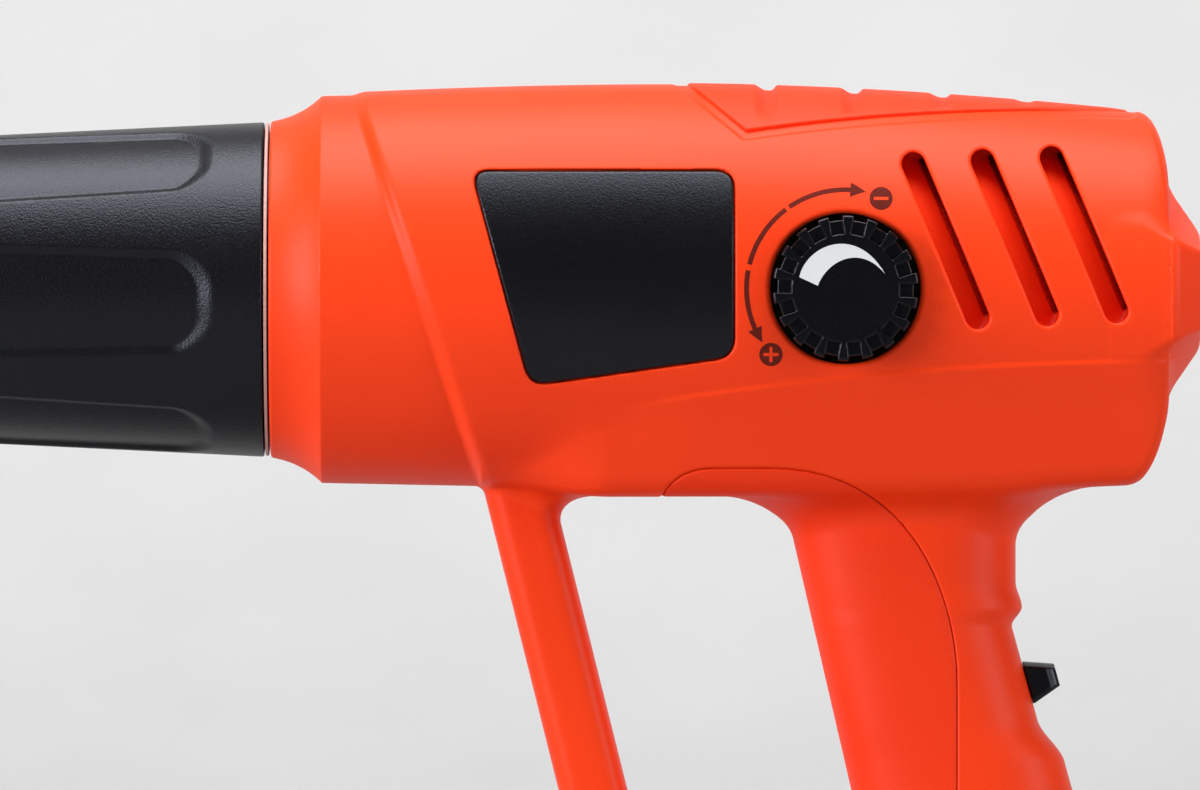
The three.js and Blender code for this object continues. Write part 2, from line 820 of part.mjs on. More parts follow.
// A louvred slot that follows the flank: it runs back as it goes in.
function ventCutter(index, side) {
  const outline = stadium(ventLength, ventWidth).getSpacedPoints(20).slice(0, -1);
  const lean = THREE.MathUtils.degToRad(ventLean);
  const middle = new THREE.Vector2(ventX + index * ventPitch, ventZ + index * ventRise);
  const along = new THREE.Vector2(-Math.sin(lean), Math.cos(lean));
  const across = new THREE.Vector2(Math.cos(lean), Math.sin(lean));
  return loft([-2 * wall, wall + coverStep / 2].map((depth) => outline.map((p) => {
    const spot = middle.clone().addScaledVector(along, p.x).addScaledVector(across, p.y);
    const y = flankAt(spot.x, spot.y) - depth;
    return new THREE.Vector3(spot.x + ventRake * depth, side * y, spot.y);
  })));
}

function inletCutter(index) {
  const z = (index - (inletCount - 1) / 2) * inletPitch;
  const slot = stadium(inletLength, inletHeight);
  const prism = axialPrism(slot, bodyLength - wall - tailRound, bodyLength + bossDepth + 1);
  return prism.translate([0, 0, z]);
}

function mouthCavity() {
  const bore = mouthRadius - grooveDepth - 0.6;
  const groove = mouthRadius - 0.6;
  const end = coverEdgeX(-coverRadius) + 2 * wall;
  const inner = collarRadius - wall;
  const profile = [
    [0, -1], [bore, -1], [bore, mouthLip], [groove, mouthLip], [groove, mouthLip + grooveWidth],
    [inner, flareLength + wall], [inner, end], [0, end],
  ];
  return revolve(profile, 24);
}

function heelPocket() {
  const rear = footRear - heelWall;
  const x = [rear - heelPocketLength, rear];
  const reach = glandFlange + 2 * fit;
  const z = [-glandDrop - reach, reach - glandDrop];
  return block(x, [-heelPocketHalf, heelPocketHalf], z);
}

function cavityForm() {
  const handle = handleForm(handleWall, keelDrop - rearFillet, loopDrop + loopFillet / 2, 12);
  const barrel = barrelForm(wall, coverEdgeX(-coverRadius) + wall, 3, 20);
  return join(mouthCavity(), barrel, keelForm(keelWall), handle, heelPocket());
}

// The switch's frame: on the scoop's surface, turned with the handle's back edge.
function switchFrame() {
  const frame = new THREE.Group();
  frame.position.set(handleSection(switchDrop, 0).rear, 0, -switchDrop);
  frame.rotation.y = -Math.atan(gripRearLean);
  frame.updateMatrix();
  return frame;
}

function inFrame(frame, form) {
  return solid(geometryOf(form).applyMatrix4(frame.matrix));
}

function boardScrewPlaces() {
  const reach = boardHalf - boardScrewInset;
  return [['upper', dialX + reach, reach], ['lower', dialX - reach, -reach]];
}

function boardPlaces() {
  const dialFace = -flankAt(dialX, 0) - dialProud;
  const hubEnd = dialFace + dialHeight + dialHubReach;
  const potFront = hubEnd + fit;
  const potRear = potFront + potBushLength + potDepth;
  const front = potRear + fit;
  return { dialFace, hubEnd, potFront, potRear, front, back: front + boardThickness };
}

// The clamp lies in the middle of the handle at its drop.
function clampMiddle() {
  const { front, rear } = handleSection(clampDrop, 0);
  return (front + rear) / 2;
}

function clampScrewXs() {
  const middle = clampMiddle();
  return [['front', middle - clampScrewPitch / 2], ['rear', middle + clampScrewPitch / 2]];
}

// Cradle arm between the wall and the motor's end cap.
function cradleArm(side, up) {
  const from = motorRadius + fit;
  const arm = new THREE.BoxGeometry(armThickness, bodyHalf, armWidth);
  arm.translate(motorFront + motorLength + fit + armThickness / 2, from + bodyHalf / 2, 0);
  const angle = THREE.MathUtils.degToRad(armAngle);
  return solid(arm.rotateX(Math.atan2(up * Math.sin(angle), side * Math.cos(angle))));
}

function switchRails(side, frame) {
  const rails = [-1, 1].map((end) => {
    const z = end * (switchLength / 2 - railLength);
    const x = [-handleWall - carriageThickness - switchDepth, -handleWall - carriageThickness - 2 * fit - 2];
    const from = side * (switchHalf + fit);
    const to = side * gripHalf;
    return block(x, [Math.min(from, to), Math.max(from, to)], [z - railLength / 2, z + railLength / 2]);
  });
  return inFrame(frame, join(...rails));
}

function switchSlot(frame) {
  const half = stemLength / 2 + switchTravel + fit;
  const halfWidth = stemWidth / 2 + fit;
  const slot = block([-handleWall * 2, scoopDepth], [-halfWidth, halfWidth], [-half, half]);
  const bayHalf = carriageLength / 2 + switchTravel + fit;
  const bayWidth = carriageWidth / 2 + fit;
  const bay = block([-handleWall * 2, -handleWall], [-bayWidth, bayWidth], [-bayHalf, bayHalf]);
  return inFrame(frame, join(slot, bay));
}

// The closed outer form, the space inside it and the cuts both halves share.
function housingForms() {
  const handle = handleForm(0, keelDrop - rearFillet, loopDrop + footBevel);
  const full = join(collarForm(), coverForm(0), keelForm(0), handle, strutForm(), footForm(), bossForm());
  const frame = switchFrame();
  const padSeatCut = sidePrism(padOutline(0), -far, far).subtract(barrelForm(padSeat, coverFront - wall));
  const inlaySeat = sidePrism(inlayOutline(0), -far, far).subtract(handleUpperForm(inlayThickness + fit));
  const cutters = [padSeatCut, inlaySeat, switchSlot(frame)];
  for (let i = 0; i < inletCount; i++) cutters.push(inletCutter(i));
  cutters.push(rodX(glandRadius + fit, footRear - far / 4, footRear + 1).translate([0, 0, -glandDrop]));
  return { full, cavity: cavityForm(), cutters, frame };
}

function halfSpace(side) {
  const y = side < 0 ? [-far, -seam / 2] : [seam / 2, far];
  return block([-far, far * 2], y, [-far * 2, far]);
}

// One half as a shell, with the posts left standing inside it.
function housingHalf({ full, cavity, cutters, frame }, side, posts) {
  posts.push(cradleArm(side, 1), cradleArm(side, -1), switchRails(side, frame));
  const shell = full.subtract(cut(cavity, ...posts)).intersect(halfSpace(side));
  const vents = [];
  for (let i = 0; i < ventCount; i++) vents.push(ventCutter(i, side));
  return cut(shell, ...cutters, ...vents);
}

function leftHousing(forms) {
  const { front } = boardPlaces();
  const places = Object.values(screwPlaces);
  const posts = places.map(([x, z]) => rodY(screwBoss, -far, far, x, z, 12));
  for (const [, x, z] of boardScrewPlaces()) posts.push(rodY(pillarRadius, -far, front - fit, x, z, 12));
  let half = housingHalf(forms, -1, posts);
  const postRoot = (handleWall + inlayThickness) / 2 + fit - gripHalf;
  for (const [, x] of clampScrewXs()) {
    half = half.add(rodY(clampPost, postRoot, clampCord, x, -clampDrop, 12));
  }
  const plateFloor = barrelForm(plateThickness + fit, coverFront - wall);
  const holes = [sidePrism(plateOutline(0), -far, 0).subtract(plateFloor)];
  holes.push(rodY(dialHole, -far, -motorRadius, dialX, 0, 30));
  for (const [x, z] of places) holes.push(rodY(screwRadius + fit, -screwReach - 1, far, x, z, 8));
  for (const [, x, z] of boardScrewPlaces()) {
    holes.push(rodY(boardScrewRadius + fit, front - boardScrewLength, far, x, z, 8));
  }
  const clampTip = clampCord + clampThickness + fit - clampScrewLength - 1;
  for (const [, x] of clampScrewXs()) {
    holes.push(rodY(clampScrewRadius + fit, clampTip, far, x, -clampDrop, 8));
  }
  return cut(half, ...holes);
}

function rightHousing(forms) {
  const places = Object.values(screwPlaces);
  const half = housingHalf(forms, 1, places.map(([x, z]) => rodY(screwSleeve, -far, far, x, z, 12)));
  const holes = [];
  for (const [x, z] of places) {
    holes.push(rodY(screwRadius + fit, -1, far, x, z, 8), rodY(screwTunnel, screwSeat, far, x, z, 12));
  }
  return cut(half, ...holes);
}

function sidePlate() {
  const skin = barrelForm(0, coverFront - wall).subtract(barrelForm(plateThickness, coverFront - wall));
  return skin.intersect(sidePrism(plateOutline(inlayGap), -far, 0));
}

function topPad() {
  const skin = barrelForm(-padRise, coverFront - wall).subtract(barrelForm(padSeat - fit, coverFront - wall));
  let pad = skin.intersect(sidePrism(padOutline(inlayGap), -far, far));
  for (let i = 0; i < padGrooveCount; i++) {
    const x = padGrooveFirst + i * padGroovePitch;
    const deep = padGrooveDepth * (1 - (i / padGrooveCount) ** 2);
    const floor = barrelSection(x, 0).top + padRise - deep;
    const notch = new THREE.Shape();
    notch.moveTo(x - padGrooveWidth * 0.75, floor + 2 * padGrooveDepth);
    notch.lineTo(x, floor);
    notch.lineTo(x + padGrooveWidth / 4, floor);
    notch.lineTo(x + padGrooveWidth / 2, floor + 2 * padGrooveDepth);
    notch.closePath();
    pad = pad.subtract(sidePrism(notch, -far, far));
  }
  return pad;
}

function frontGrip() {
  const skin = handleUpperForm(0).subtract(handleUpperForm(inlayThickness));
  return skin.intersect(sidePrism(inlayOutline(inlayGap), -far, far));
}

// Nose: a tapered shroud with a spigot and flange held behind the housing's lip.
function noseShroud() {
  const flange = spigotRadius + noseFlangeRise;
  const flangeFrom = mouthLip + fit;
  const flangeTo = mouthLip + grooveWidth - fit;
  const inner = spigotRadius - noseSpigotWall;
  const opening = nozzleRadius + fit;
  const front = -noseLength;
  const profile = [[inner, noseSpigot], [spigotRadius, noseSpigot]];
  profile.push([spigotRadius, flangeTo], [flange, flangeTo]);
  profile.push([flange, flangeFrom], [spigotRadius, flangeFrom], [spigotRadius, noseShoulder]);
  profile.push([noseRadius, noseShoulder], [noseFrontRadius, front + noseEdge]);
  for (let i = 1; i <= 3; i++) {
    const angle = (i / 3) * (Math.PI / 2);
    const radius = noseFrontRadius - noseEdge * (1 - Math.cos(angle));
    profile.push([radius, front + noseEdge * (1 - Math.sin(angle))]);
  }
  profile.push([opening, front], [opening, front + noseWall], [noseFrontRadius - noseEdge, front + noseWall]);
  profile.push([noseFrontRadius - noseWall, front + noseEdge + noseWall / 2]);
  profile.push([noseRadius - noseWall, noseShoulder - 2 * noseWall]);
  profile.push([inner, noseShoulder - noseWall], [inner, noseSpigot]);
  let nose = revolve(profile, 32);
  const taper = (radius) => revolve([
    [0, -far], [radius(-far), -far], [radius(far), far], [0, far],
  ], 32);
  const slope = (noseRadius - noseFrontRadius) / (noseLength - noseEdge + noseShoulder);
  const skinAt = (x) => noseRadius + slope * (x - noseShoulder);
  const floor = taper((x) => skinAt(x) - panelDepth);
  for (let i = 0; i < panelCount; i++) {
    const turn = THREE.MathUtils.degToRad(panelTurn + (i * 360) / panelCount);
    const wide = panelHalf + panelSpread * (panelRearX - panelFrontX);
    const outline = roundedShape([
      new THREE.Vector2(panelFrontX, -wide),
      new THREE.Vector2(panelRearX, -panelHalf),
      new THREE.Vector2(panelRearX, panelHalf),
      new THREE.Vector2(panelFrontX, wide),
    ], panelCorner);
    const slab = sidePrism(outline, -far, -noseRadius / 2, 2).rotate([THREE.MathUtils.radToDeg(turn), 0, 0]);
    nose = nose.subtract(slab.subtract(floor));
  }
  return nose;
}

function noseSeal() {
  return tubeX(mouthRadius - sealWidth - fit, mouthRadius - fit, -sealThickness - fit, -fit, 32);
}

function flangeHoles(form) {
  for (let i = 0; i < flangeScrewCount; i++) {
    form = form.subtract(flangeScrewAt(i, rodX(flangeScrewRadius + fit, -far, 0, 8)));
  }
  return form;
}

function flangeScrewAt(index, form) {
  const angle = (index / flangeScrewCount) * 2 * Math.PI + Math.PI / 2;
  return form.translate([0, flangeScrewCircle * Math.cos(angle), flangeScrewCircle * Math.sin(angle)]);
}

function nozzleTube() {
  const lip = nozzleRadius + nozzleLip;
  const seat = -heaterSeat;
  const profile = [
    [nozzleInner, nozzleFront], [lip - 0.2, nozzleFront], [lip, nozzleFront + nozzleLip],
    [lip, nozzleFront + nozzleLipLength], [nozzleRadius, nozzleFront + nozzleLipLength + nozzleLip],
    [nozzleRadius, seat], [flangeRadius, seat], [flangeRadius, seat + flangeThickness],
    [nozzleInner, seat + flangeThickness], [nozzleInner, nozzleFront],
  ];
  return flangeHoles(revolve(profile, 32));
}

function flangeScrew(index) {
  const head = -heaterSeat - fit;
  const screw = join(
    rodX(flangeScrewHead, head - flangeScrewHeadHeight, head, 12),
    rodX(flangeScrewRadius, head - flangeScrewHeadHeight / 2, ductFront + ductFlange, 8),
  );
  return flangeScrewAt(index, screw);
}

function heaterPlate() {
  const plate = new THREE.Shape();
  plate.absarc(0, 0, flangeRadius, 0, 2 * Math.PI);
  const hub = new THREE.Path();
  hub.absarc(0, 0, coreStub + fit, 0, 2 * Math.PI, true);
  plate.holes.push(hub);
  const inner = coreRod + 1;
  const outer = sleeveRadius - sleeveThickness - 1;
  for (let i = 0; i < coreFinCount; i++) {
    const from = ((i + 0.14) / coreFinCount) * 2 * Math.PI;
    const to = ((i + 0.86) / coreFinCount) * 2 * Math.PI;
    const window = new THREE.Path();
    window.absarc(0, 0, outer, from, to);
    window.absarc(0, 0, inner, to, from, true);
    window.closePath();
    plate.holes.push(window);
  }
  return flangeHoles(axialPrism(plate, plateX, plateX + heaterPlateThickness, 5));
}

function ceramicCore() {
  const from = nozzleFront + coreSetback;
  const to = plateX - fit;
  const shape = new THREE.Shape();
  const half = coreFinThickness / 2;
  const root = Math.sqrt(coreRod * coreRod - half * half);
  for (let i = 0; i < coreFinCount; i++) {
    const turn = (i / coreFinCount) * 2 * Math.PI;
    const spots = [[root, -half], [coreRadius, -half], [coreRadius, half], [root, half]];
    spots.forEach(([r, t], j) => {
      const y = r * Math.cos(turn) - t * Math.sin(turn);
      const z = r * Math.sin(turn) + t * Math.cos(turn);
      if (i === 0 && j === 0) shape.moveTo(y, z);
      else shape.lineTo(y, z);
    });
  }
  shape.closePath();
  return join(axialPrism(shape, from, to), rodX(coreStub, to - 1, plateX + heaterPlateThickness, 16));
}

class Helix extends THREE.Curve {
  getPoint(t) {
    const from = nozzleFront + coreSetback + coilMargin;
    const to = plateX - fit - coilMargin;
    const radius = coreRadius + coilClearance + coilWire;
    const angle = t * coilTurnCount * 2 * Math.PI;
    return new THREE.Vector3(mix(from, to, t), radius * Math.cos(angle), radius * Math.sin(angle));
  }
}

function heatingCoil() {
  const helix = new Helix();
  const pitch = helix.getPoint(1 / coilTurnCount).distanceTo(helix.getPoint(0));
  console.log('least gap between coil turns ' + (pitch - 2 * coilWire).toFixed(2) + ' mm');
  const section = new THREE.Shape();
  for (let i = 0; i < 5; i++) {
    const angle = (i / 5) * 2 * Math.PI;
    const x = coilWire * Math.cos(angle);
    const y = coilWire * Math.sin(angle);
    if (i === 0) section.moveTo(x, y);
    else section.lineTo(x, y);
  }
  section.closePath();
  const steps = coilTurnCount * coilTurnSteps;
  return solid(new THREE.ExtrudeGeometry(section, { steps, extrudePath: helix, bevelEnabled: false }));
}

function micaSleeve() {
  const inner = sleeveRadius - sleeveThickness;
  return tubeX(inner, sleeveRadius, nozzleFront + sleeveSetback, plateX - fit, 24);
}

// Duct from the fan to the heater, with stator vanes behind a round hub.
function airDuct() {
  const outer = shroudInner + ductWall;
  const throat = sleeveRadius - sleeveThickness;
  const shroudFront = ductRear - shroudLength;
  const flangeBack = ductFront + ductFlange;
  const body = revolve([
    [0, ductFront], [flangeRadius, ductFront], [flangeRadius, flangeBack], [throat + ductWall, flangeBack],
    [outer, shroudFront], [outer, ductRear - ductFlange], [ductRadius, ductRear - ductFlange],
    [ductRadius, ductRear], [0, ductRear],
  ], 32);
  const bore = revolve([
    [0, ductFront - 1], [throat, ductFront - 1], [throat, flangeBack], [shroudInner, shroudFront + ductWall],
    [shroudInner, ductRear + 1], [0, ductRear + 1],
  ], 32);
  const hubRear = shroudFront - fit;
  const hubFront = hubRear - statorLength;
  const hub = revolve([
    [0, hubFront - statorHub], [statorHub * 0.6, hubFront - statorHub * 0.7], [statorHub, hubFront],
    [statorHub, hubRear], [0, hubRear],
  ], 16);
  const vanes = [];
  for (let i = 0; i < statorVaneCount; i++) {
    const vane = new THREE.BoxGeometry(statorLength - 2, statorThickness, shroudInner + ductWall / 2);
    vane.translate((hubFront + hubRear) / 2, 0, (shroudInner + ductWall / 2) / 2);
    vanes.push(solid(vane.rotateX((i / statorVaneCount) * 2 * Math.PI + 0.3)));
  }
  const inside = join(hub, ...vanes).intersect(body);
  return flangeHoles(join(body.subtract(bore), inside));
}

function fanImpeller() {
  const rear = ductRear - fanSetback;
  const front = rear - fanLength;
  const hub = revolve([
    [shaftRadius + fit, front], [fanHub * 0.75, front], [fanHub, front + fanHub * 0.4], [fanHub, rear],
    [shaftRadius + fit, rear], [shaftRadius + fit, front],
  ], 20);
  const blades = [];
  const chord = fanLength * 1.15;
  for (let i = 0; i < fanBladeCount; i++) {
    const rings = [];
    for (let k = 0; k <= 3; k++) {
      const radius = mix(fanHub * 0.8, fanRadius + 1, k / 3);
      const pitch = THREE.MathUtils.degToRad(fanPitch * mix(0.55, 1.25, k / 3));
      const half = fanBladeThickness / 2;
      const ring = [[-chord / 2, -half], [chord / 2, -half], [chord / 2, half], [-chord / 2, half]];
      rings.push(ring.map(([a, t]) => new THREE.Vector3(
        (front + rear) / 2 + a * Math.cos(pitch) - t * Math.sin(pitch),
        a * Math.sin(pitch) + t * Math.cos(pitch),
        radius,
      )));
    }
    blades.push(loft(rings).rotate([(i * 360) / fanBladeCount, 0, 0]));
  }
  const swept = tubeX(shaftRadius + 2 * fit, fanRadius, front, rear, 28);
  return join(hub, join(...blades).intersect(swept));
}

function motorMount() {
  const from = ductRear + fit;
  const to = from + mountThickness;
  const forms = [
    tubeX(ductRadius - mountRing, ductRadius, from, to, 32),
    tubeX(motorBoss + fit, mountHub, from, to, 20),
  ];
  for (let i = 0; i < mountSpokeCount; i++) {
    const spokeLength = ductRadius - mountRing / 2 - mountHub + 1.5;
    const spoke = new THREE.BoxGeometry(mountThickness, mountSpokeWidth, spokeLength);
    spoke.translate((from + to) / 2, 0, (ductRadius - mountRing / 2 + mountHub - 1.5) / 2);
    forms.push(solid(spoke.rotateX((i / mountSpokeCount) * 2 * Math.PI)));
  }
  return join(...forms);
}

// Motor pieces, with x measured from the can's front face.
function motorCan() {
  return revolve([
    [bushRadius + fit, -motorBossLength], [motorBoss, -motorBossLength], [motorBoss, 0], [motorRadius, 0],
    [motorRadius, motorLength], [motorInner, motorLength],
    [motorInner, motorEnd], [bushRadius + fit, motorEnd],
    [bushRadius + fit, -motorBossLength],
  ], 24);
}

function magnet(turn) {
  const half = THREE.MathUtils.degToRad(magnetArc / 2);
  const shape = new THREE.Shape();
  shape.absarc(0, 0, motorInner - fit, turn - half, turn + half);
  shape.absarc(0, 0, magnetInner, turn + half, turn - half, true);
  shape.closePath();
  return axialPrism(shape, magnetFront, magnetFront + magnetLength, 8);
}

function armatureCore() {
  const from = magnetFront + (magnetLength - armatureLength) / 2;
  let core = tubeX(shaftRadius + fit, armatureRadius, from, from + armatureLength, 24);
  for (let i = 0; i < armatureSlotCount; i++) {
    const slot = new THREE.BoxGeometry(armatureLength + 2, armatureSlotWidth, armatureSlotDepth * 2);
    slot.translate(from + armatureLength / 2, 0, armatureRadius);
    core = core.subtract(solid(slot.rotateX((i / armatureSlotCount) * 2 * Math.PI)));
  }
  return core;
}

function commutatorFrom() {
  return magnetFront + magnetLength + fit;
}

function commutator() {
  const from = commutatorFrom();
  return tubeX(shaftRadius + fit, commutatorRadius, from, from + commutatorLength, 14);
}

function brushBox(side, grow) {
  const middle = commutatorFrom() + commutatorLength / 2;
  const half = brushWidth / 2 + grow;
  const near = commutatorRadius + fit - grow * 8;
  const z = [near, commutatorRadius + fit + brushLength + grow].map((value) => value * side);
  return block([middle - half, middle + half], [-half, half], [Math.min(...z), Math.max(...z)]);
}

function motorEndCap() {
  const from = motorLength + fit;
  let cap = tubeX(bushRadius + fit, motorRadius, from, from + capThickness, 20);
  for (const side of [-1, 1]) {
    const middle = commutatorFrom() + commutatorLength / 2;
    const half = brushWidth / 2 + fit + brushHolderWall;
    const holderTop = commutatorRadius + brushLength + 2 * fit + brushHolderWall;
    const z = [commutatorRadius + 2, holderTop].map((v) => v * side);
    const holder = block([middle - half, from + 1], [-half, half], [Math.min(...z), Math.max(...z)]);
    cap = join(cap, holder.subtract(brushBox(side, fit)));
  }
  return cap;
}

function shaftBush(middle) {
  return tubeX(shaftRadius + fit, bushRadius, middle - bushLength / 2, middle + bushLength / 2, 12);
}

function rectifierBoard() {
  const from = motorLength + capThickness + 2 * fit;
  return tubeX(bushRadius + fit, rectifierRadius, from, from + rectifierThickness, 16);
}

function motorShaft() {
  const from = ductRear - fanSetback - fanLength - motorFront;
  return rodX(shaftRadius, from, motorLength + capThickness + fit + 1, 16);
}

function addMotor(parent) {
  const motor = new THREE.Group();
  motor.position.x = motorFront;
  parent.add(motor);
  addPiece(motor, 'motor_can', motorCan(), 'darkSteel');
  addPiece(motor, 'field_magnet_upper', magnet(Math.PI / 2), 'ferrite');
  addPiece(motor, 'field_magnet_lower', magnet(-Math.PI / 2), 'ferrite');
  addPiece(motor, 'armature_core', armatureCore(), 'darkSteel');
  addPiece(motor, 'commutator', commutator(), 'copper');
  addPiece(motor, 'brush_upper', brushBox(1, 0), 'carbon');
  addPiece(motor, 'brush_lower', brushBox(-1, 0), 'carbon');
  addPiece(motor, 'motor_end_cap', motorEndCap(), 'black');
  addPiece(motor, 'front_bush', shaftBush((motorEnd - motorBossLength) / 2), 'brass');
  addPiece(motor, 'rear_bush', shaftBush(motorLength + fit + capThickness / 2), 'brass');
  addPiece(motor, 'rectifier_board', rectifierBoard(), 'board');
  addPiece(motor, 'motor_shaft', motorShaft(), 'steel');
}

// Dial pieces, in a frame on the dial's axis.
function temperatureDial() {
  const { dialFace, hubEnd } = boardPlaces();
  const back = dialFace + dialHeight;
  let dial = join(rodY(dialRadius, dialFace, back, 0, 0, 54), rodY(dialHubRadius, back - 1, hubEnd));
  const reach = dialRadius - dialNotchInner + 2;
  for (let i = 0; i < dialNotchCount; i++) {
    const notch = new THREE.BoxGeometry(reach, dialNotchDepth + 1, dialNotchWidth);
    notch.translate(dialNotchInner + reach / 2, dialFace + (dialNotchDepth - 1) / 2, 0);
    dial = dial.subtract(solid(notch.rotateY(((i + 0.4) / dialNotchCount) * 2 * Math.PI)));
  }
  return dial.subtract(rodY(dialShaftRadius + fit, dialFace + dialCapThickness, hubEnd + 1));
}

function dialShaft() {
  const { dialFace, potRear } = boardPlaces();
  return rodY(dialShaftRadius, dialFace + dialCapThickness + fit, potRear - potBack - fit);
}

function potentiometer() {
  const { potFront, potRear } = boardPlaces();
  const bush = rodY(potBushRadius, potFront, potFront + potBushLength + 1);
  const body = rodY(potRadius, potFront + potBushLength, potRear);
  return join(bush, body).subtract(rodY(dialShaftRadius + fit, potFront - 1, potRear - potBack));
}

function controlBoard() {
  const { front, back } = boardPlaces();
  let board = block([-boardHalf, boardHalf], [front, back], [-boardHalf, boardHalf]);
  for (const [, x, z] of boardScrewPlaces()) {
    board = board.subtract(rodY(boardScrewRadius + fit, front - 1, back + 1, x - dialX, z, 12));
  }
  return board;
}

function boardScrew(x, z) {
  const { back } = boardPlaces();
  const head = back + fit;
  return join(
    rodY(boardScrewHead, head, head + boardScrewHeadHeight, x, z, 12),
    rodY(boardScrewRadius, head - boardScrewLength, head + 1, x, z, 8),
  );
}

function addDial(parent) {
  const dial = new THREE.Group();
  dial.position.x = dialX;
  parent.add(dial);
  addPiece(dial, 'temperature_dial', temperatureDial(), 'dialBlack');
  addPiece(dial, 'dial_shaft', dialShaft(), 'steel');
  addPiece(dial, 'potentiometer', potentiometer(), 'darkSteel');
  addPiece(dial, 'control_board', controlBoard(), 'board');
  for (const [name, x, z] of boardScrewPlaces()) {
    addPiece(dial, 'board_screw_' + name, boardScrew(x - dialX, z), 'steel');
  }
}

// Switch pieces, in the frame on the scoop.
function carriageBack() {
  return -handleWall - 2 * fit - carriageThickness;
}

function switchSlider() {
  const tab = new THREE.Shape();
  tab.moveTo(fit, tabBase / 2);
  tab.lineTo(fit, -tabBase / 2);
  tab.lineTo(fit + tabHeight, -tabTop / 2);
  tab.lineTo(fit + tabHeight, tabTop / 2);
  tab.closePath();
  const back = carriageBack();
  const stem = block([back + 1, fit + 1], [-stemWidth / 2, stemWidth / 2], [-stemLength / 2, stemLength / 2]);
  const carriage = block(
    [back, back + carriageThickness],
    [-carriageWidth / 2, carriageWidth / 2],
    [-carriageLength / 2, carriageLength / 2],
  );
  const socket = leverSize / 2 + fit;
  const pocket = block([back - 1, back + carriageThickness - 0.6], [-socket, socket], [-socket, socket]);
  return join(sidePrism(tab, -tabWidth / 2, tabWidth / 2), stem, carriage).subtract(pocket);
}

function switchLever() {
  const half = leverSize / 2;
  const back = carriageBack();
  return block([back - leverReach, back + carriageThickness - 0.6 - fit], [-half, half], [-half, half]);
}

function switchBody() {
  const front = carriageBack() - fit;
  const half = leverSize / 2 + fit;
  const long = [-switchLength / 2, switchLength / 2];
  const body = block([front - switchDepth, front], [-switchHalf, switchHalf], long);
  const reach = half + switchTravel;
  const slot = block([front - leverReach - fit, front + 1], [-half, half], [-reach, reach]);
  return body.subtract(slot);
}

function addSwitch(parent) {
  const frame = switchFrame();
  parent.add(frame);
  addPiece(frame, 'switch_slider', switchSlider(), 'black');
  addPiece(frame, 'switch_lever', switchLever(), 'fan');
  addPiece(frame, 'switch_body', switchBody(), 'carbon');
}

function cordGland() {
  const wallFront = footRear - heelWall;
  return revolve([
    [glandBore, wallFront - fit - glandFlangeThickness],
    [glandFlange, wallFront - fit - glandFlangeThickness],
    [glandFlange, wallFront - fit], [glandRadius, wallFront - fit], [glandRadius, footRear],
    [glandBore, footRear], [glandBore, wallFront - fit - glandFlangeThickness],
  ], 20).translate([0, 0, -glandDrop]);
}

function cordClamp() {
  const y = [clampCord + fit, clampCord + fit + clampThickness];
  const x = [clampMiddle() - clampLength / 2, clampMiddle() + clampLength / 2];
  let bar = block(x, y, [-clampDrop - clampHeight / 2, clampHeight / 2 - clampDrop]);
  for (const [, at] of clampScrewXs()) {
    bar = bar.subtract(rodY(clampScrewRadius + fit, y[0] - 1, y[1] + 1, at, -clampDrop, 12));
  }
  return bar;
}

function clampScrew(x) {
  const head = clampCord + clampThickness + 2 * fit;
  return join(
    rodY(clampScrewHead, head, head + clampScrewHeadHeight, x, -clampDrop, 12),
    rodY(clampScrewRadius, head - clampScrewLength, head + 1, x, -clampDrop, 8),
  );
}

function housingScrew(x, z) {
  const head = screwSeat + fit;
  return join(
    rodY(screwHead, head, head + screwHeadHeight, x, z, 14),
    rodY(screwRadius, -screwReach, head + 1, x, z, 10),
  );
}

function addPiece(parent, name, form, finish) {
  const [color, roughness, metalness] = materials[finish];
  const material = new THREE.MeshStandardMaterial({ color, roughness, metalness });
  const mesh = new THREE.Mesh(geometryOf(form), material);
  mesh.name = name;
  parent.add(mesh);
}

function buildTool() {
  const root = new THREE.Group();
  const barrel = new THREE.Group();
  barrel.position.set(-(footFront + footRear) / 2, 0, axisHeight);
  root.add(barrel);
  const forms = housingForms();
  addPiece(barrel, 'left_housing', leftHousing(forms), 'orange');
  addPiece(barrel, 'right_housing', rightHousing(forms), 'orange');
  addPiece(barrel, 'side_plate', sidePlate(), 'plate');
  addPiece(barrel, 'top_pad', topPad(), 'softOrange');
  addPiece(barrel, 'front_grip', frontGrip(), 'softOrange');
  addPiece(barrel, 'nose_shroud', noseShroud(), 'black');
  addPiece(barrel, 'nose_seal', noseSeal(), 'seal');
  addPiece(barrel, 'nozzle_tube', nozzleTube(), 'steel');
  addPiece(barrel, 'mica_sleeve', micaSleeve(), 'mica');
  addPiece(barrel, 'heater_core', ceramicCore(), 'ceramic');
  addPiece(barrel, 'heating_coil', heatingCoil(), 'darkSteel');
  addPiece(barrel, 'heater_plate', heaterPlate(), 'mica');
  for (let i = 0; i < flangeScrewCount; i++) {
    addPiece(barrel, 'flange_screw_' + (i + 1), flangeScrew(i), 'steel');
  }
  addPiece(barrel, 'air_duct', airDuct(), 'fan');
  addPiece(barrel, 'fan_impeller', fanImpeller(), 'fan');
  addPiece(barrel, 'motor_mount', motorMount(), 'fan');
  addMotor(barrel);
  addDial(barrel);
  addSwitch(barrel);
  addPiece(barrel, 'cord_gland', cordGland(), 'rubber');
  addPiece(barrel, 'cord_clamp', cordClamp(), 'fan');
  for (const [name, x] of clampScrewXs()) addPiece(barrel, 'clamp_screw_' + name, clampScrew(x), 'steel');
  for (const [name, [x, z]] of Object.entries(screwPlaces)) {
    addPiece(barrel, 'housing_screw_' + name, housingScrew(x, z), 'steel');
  }
  return root;
}

export default buildTool();
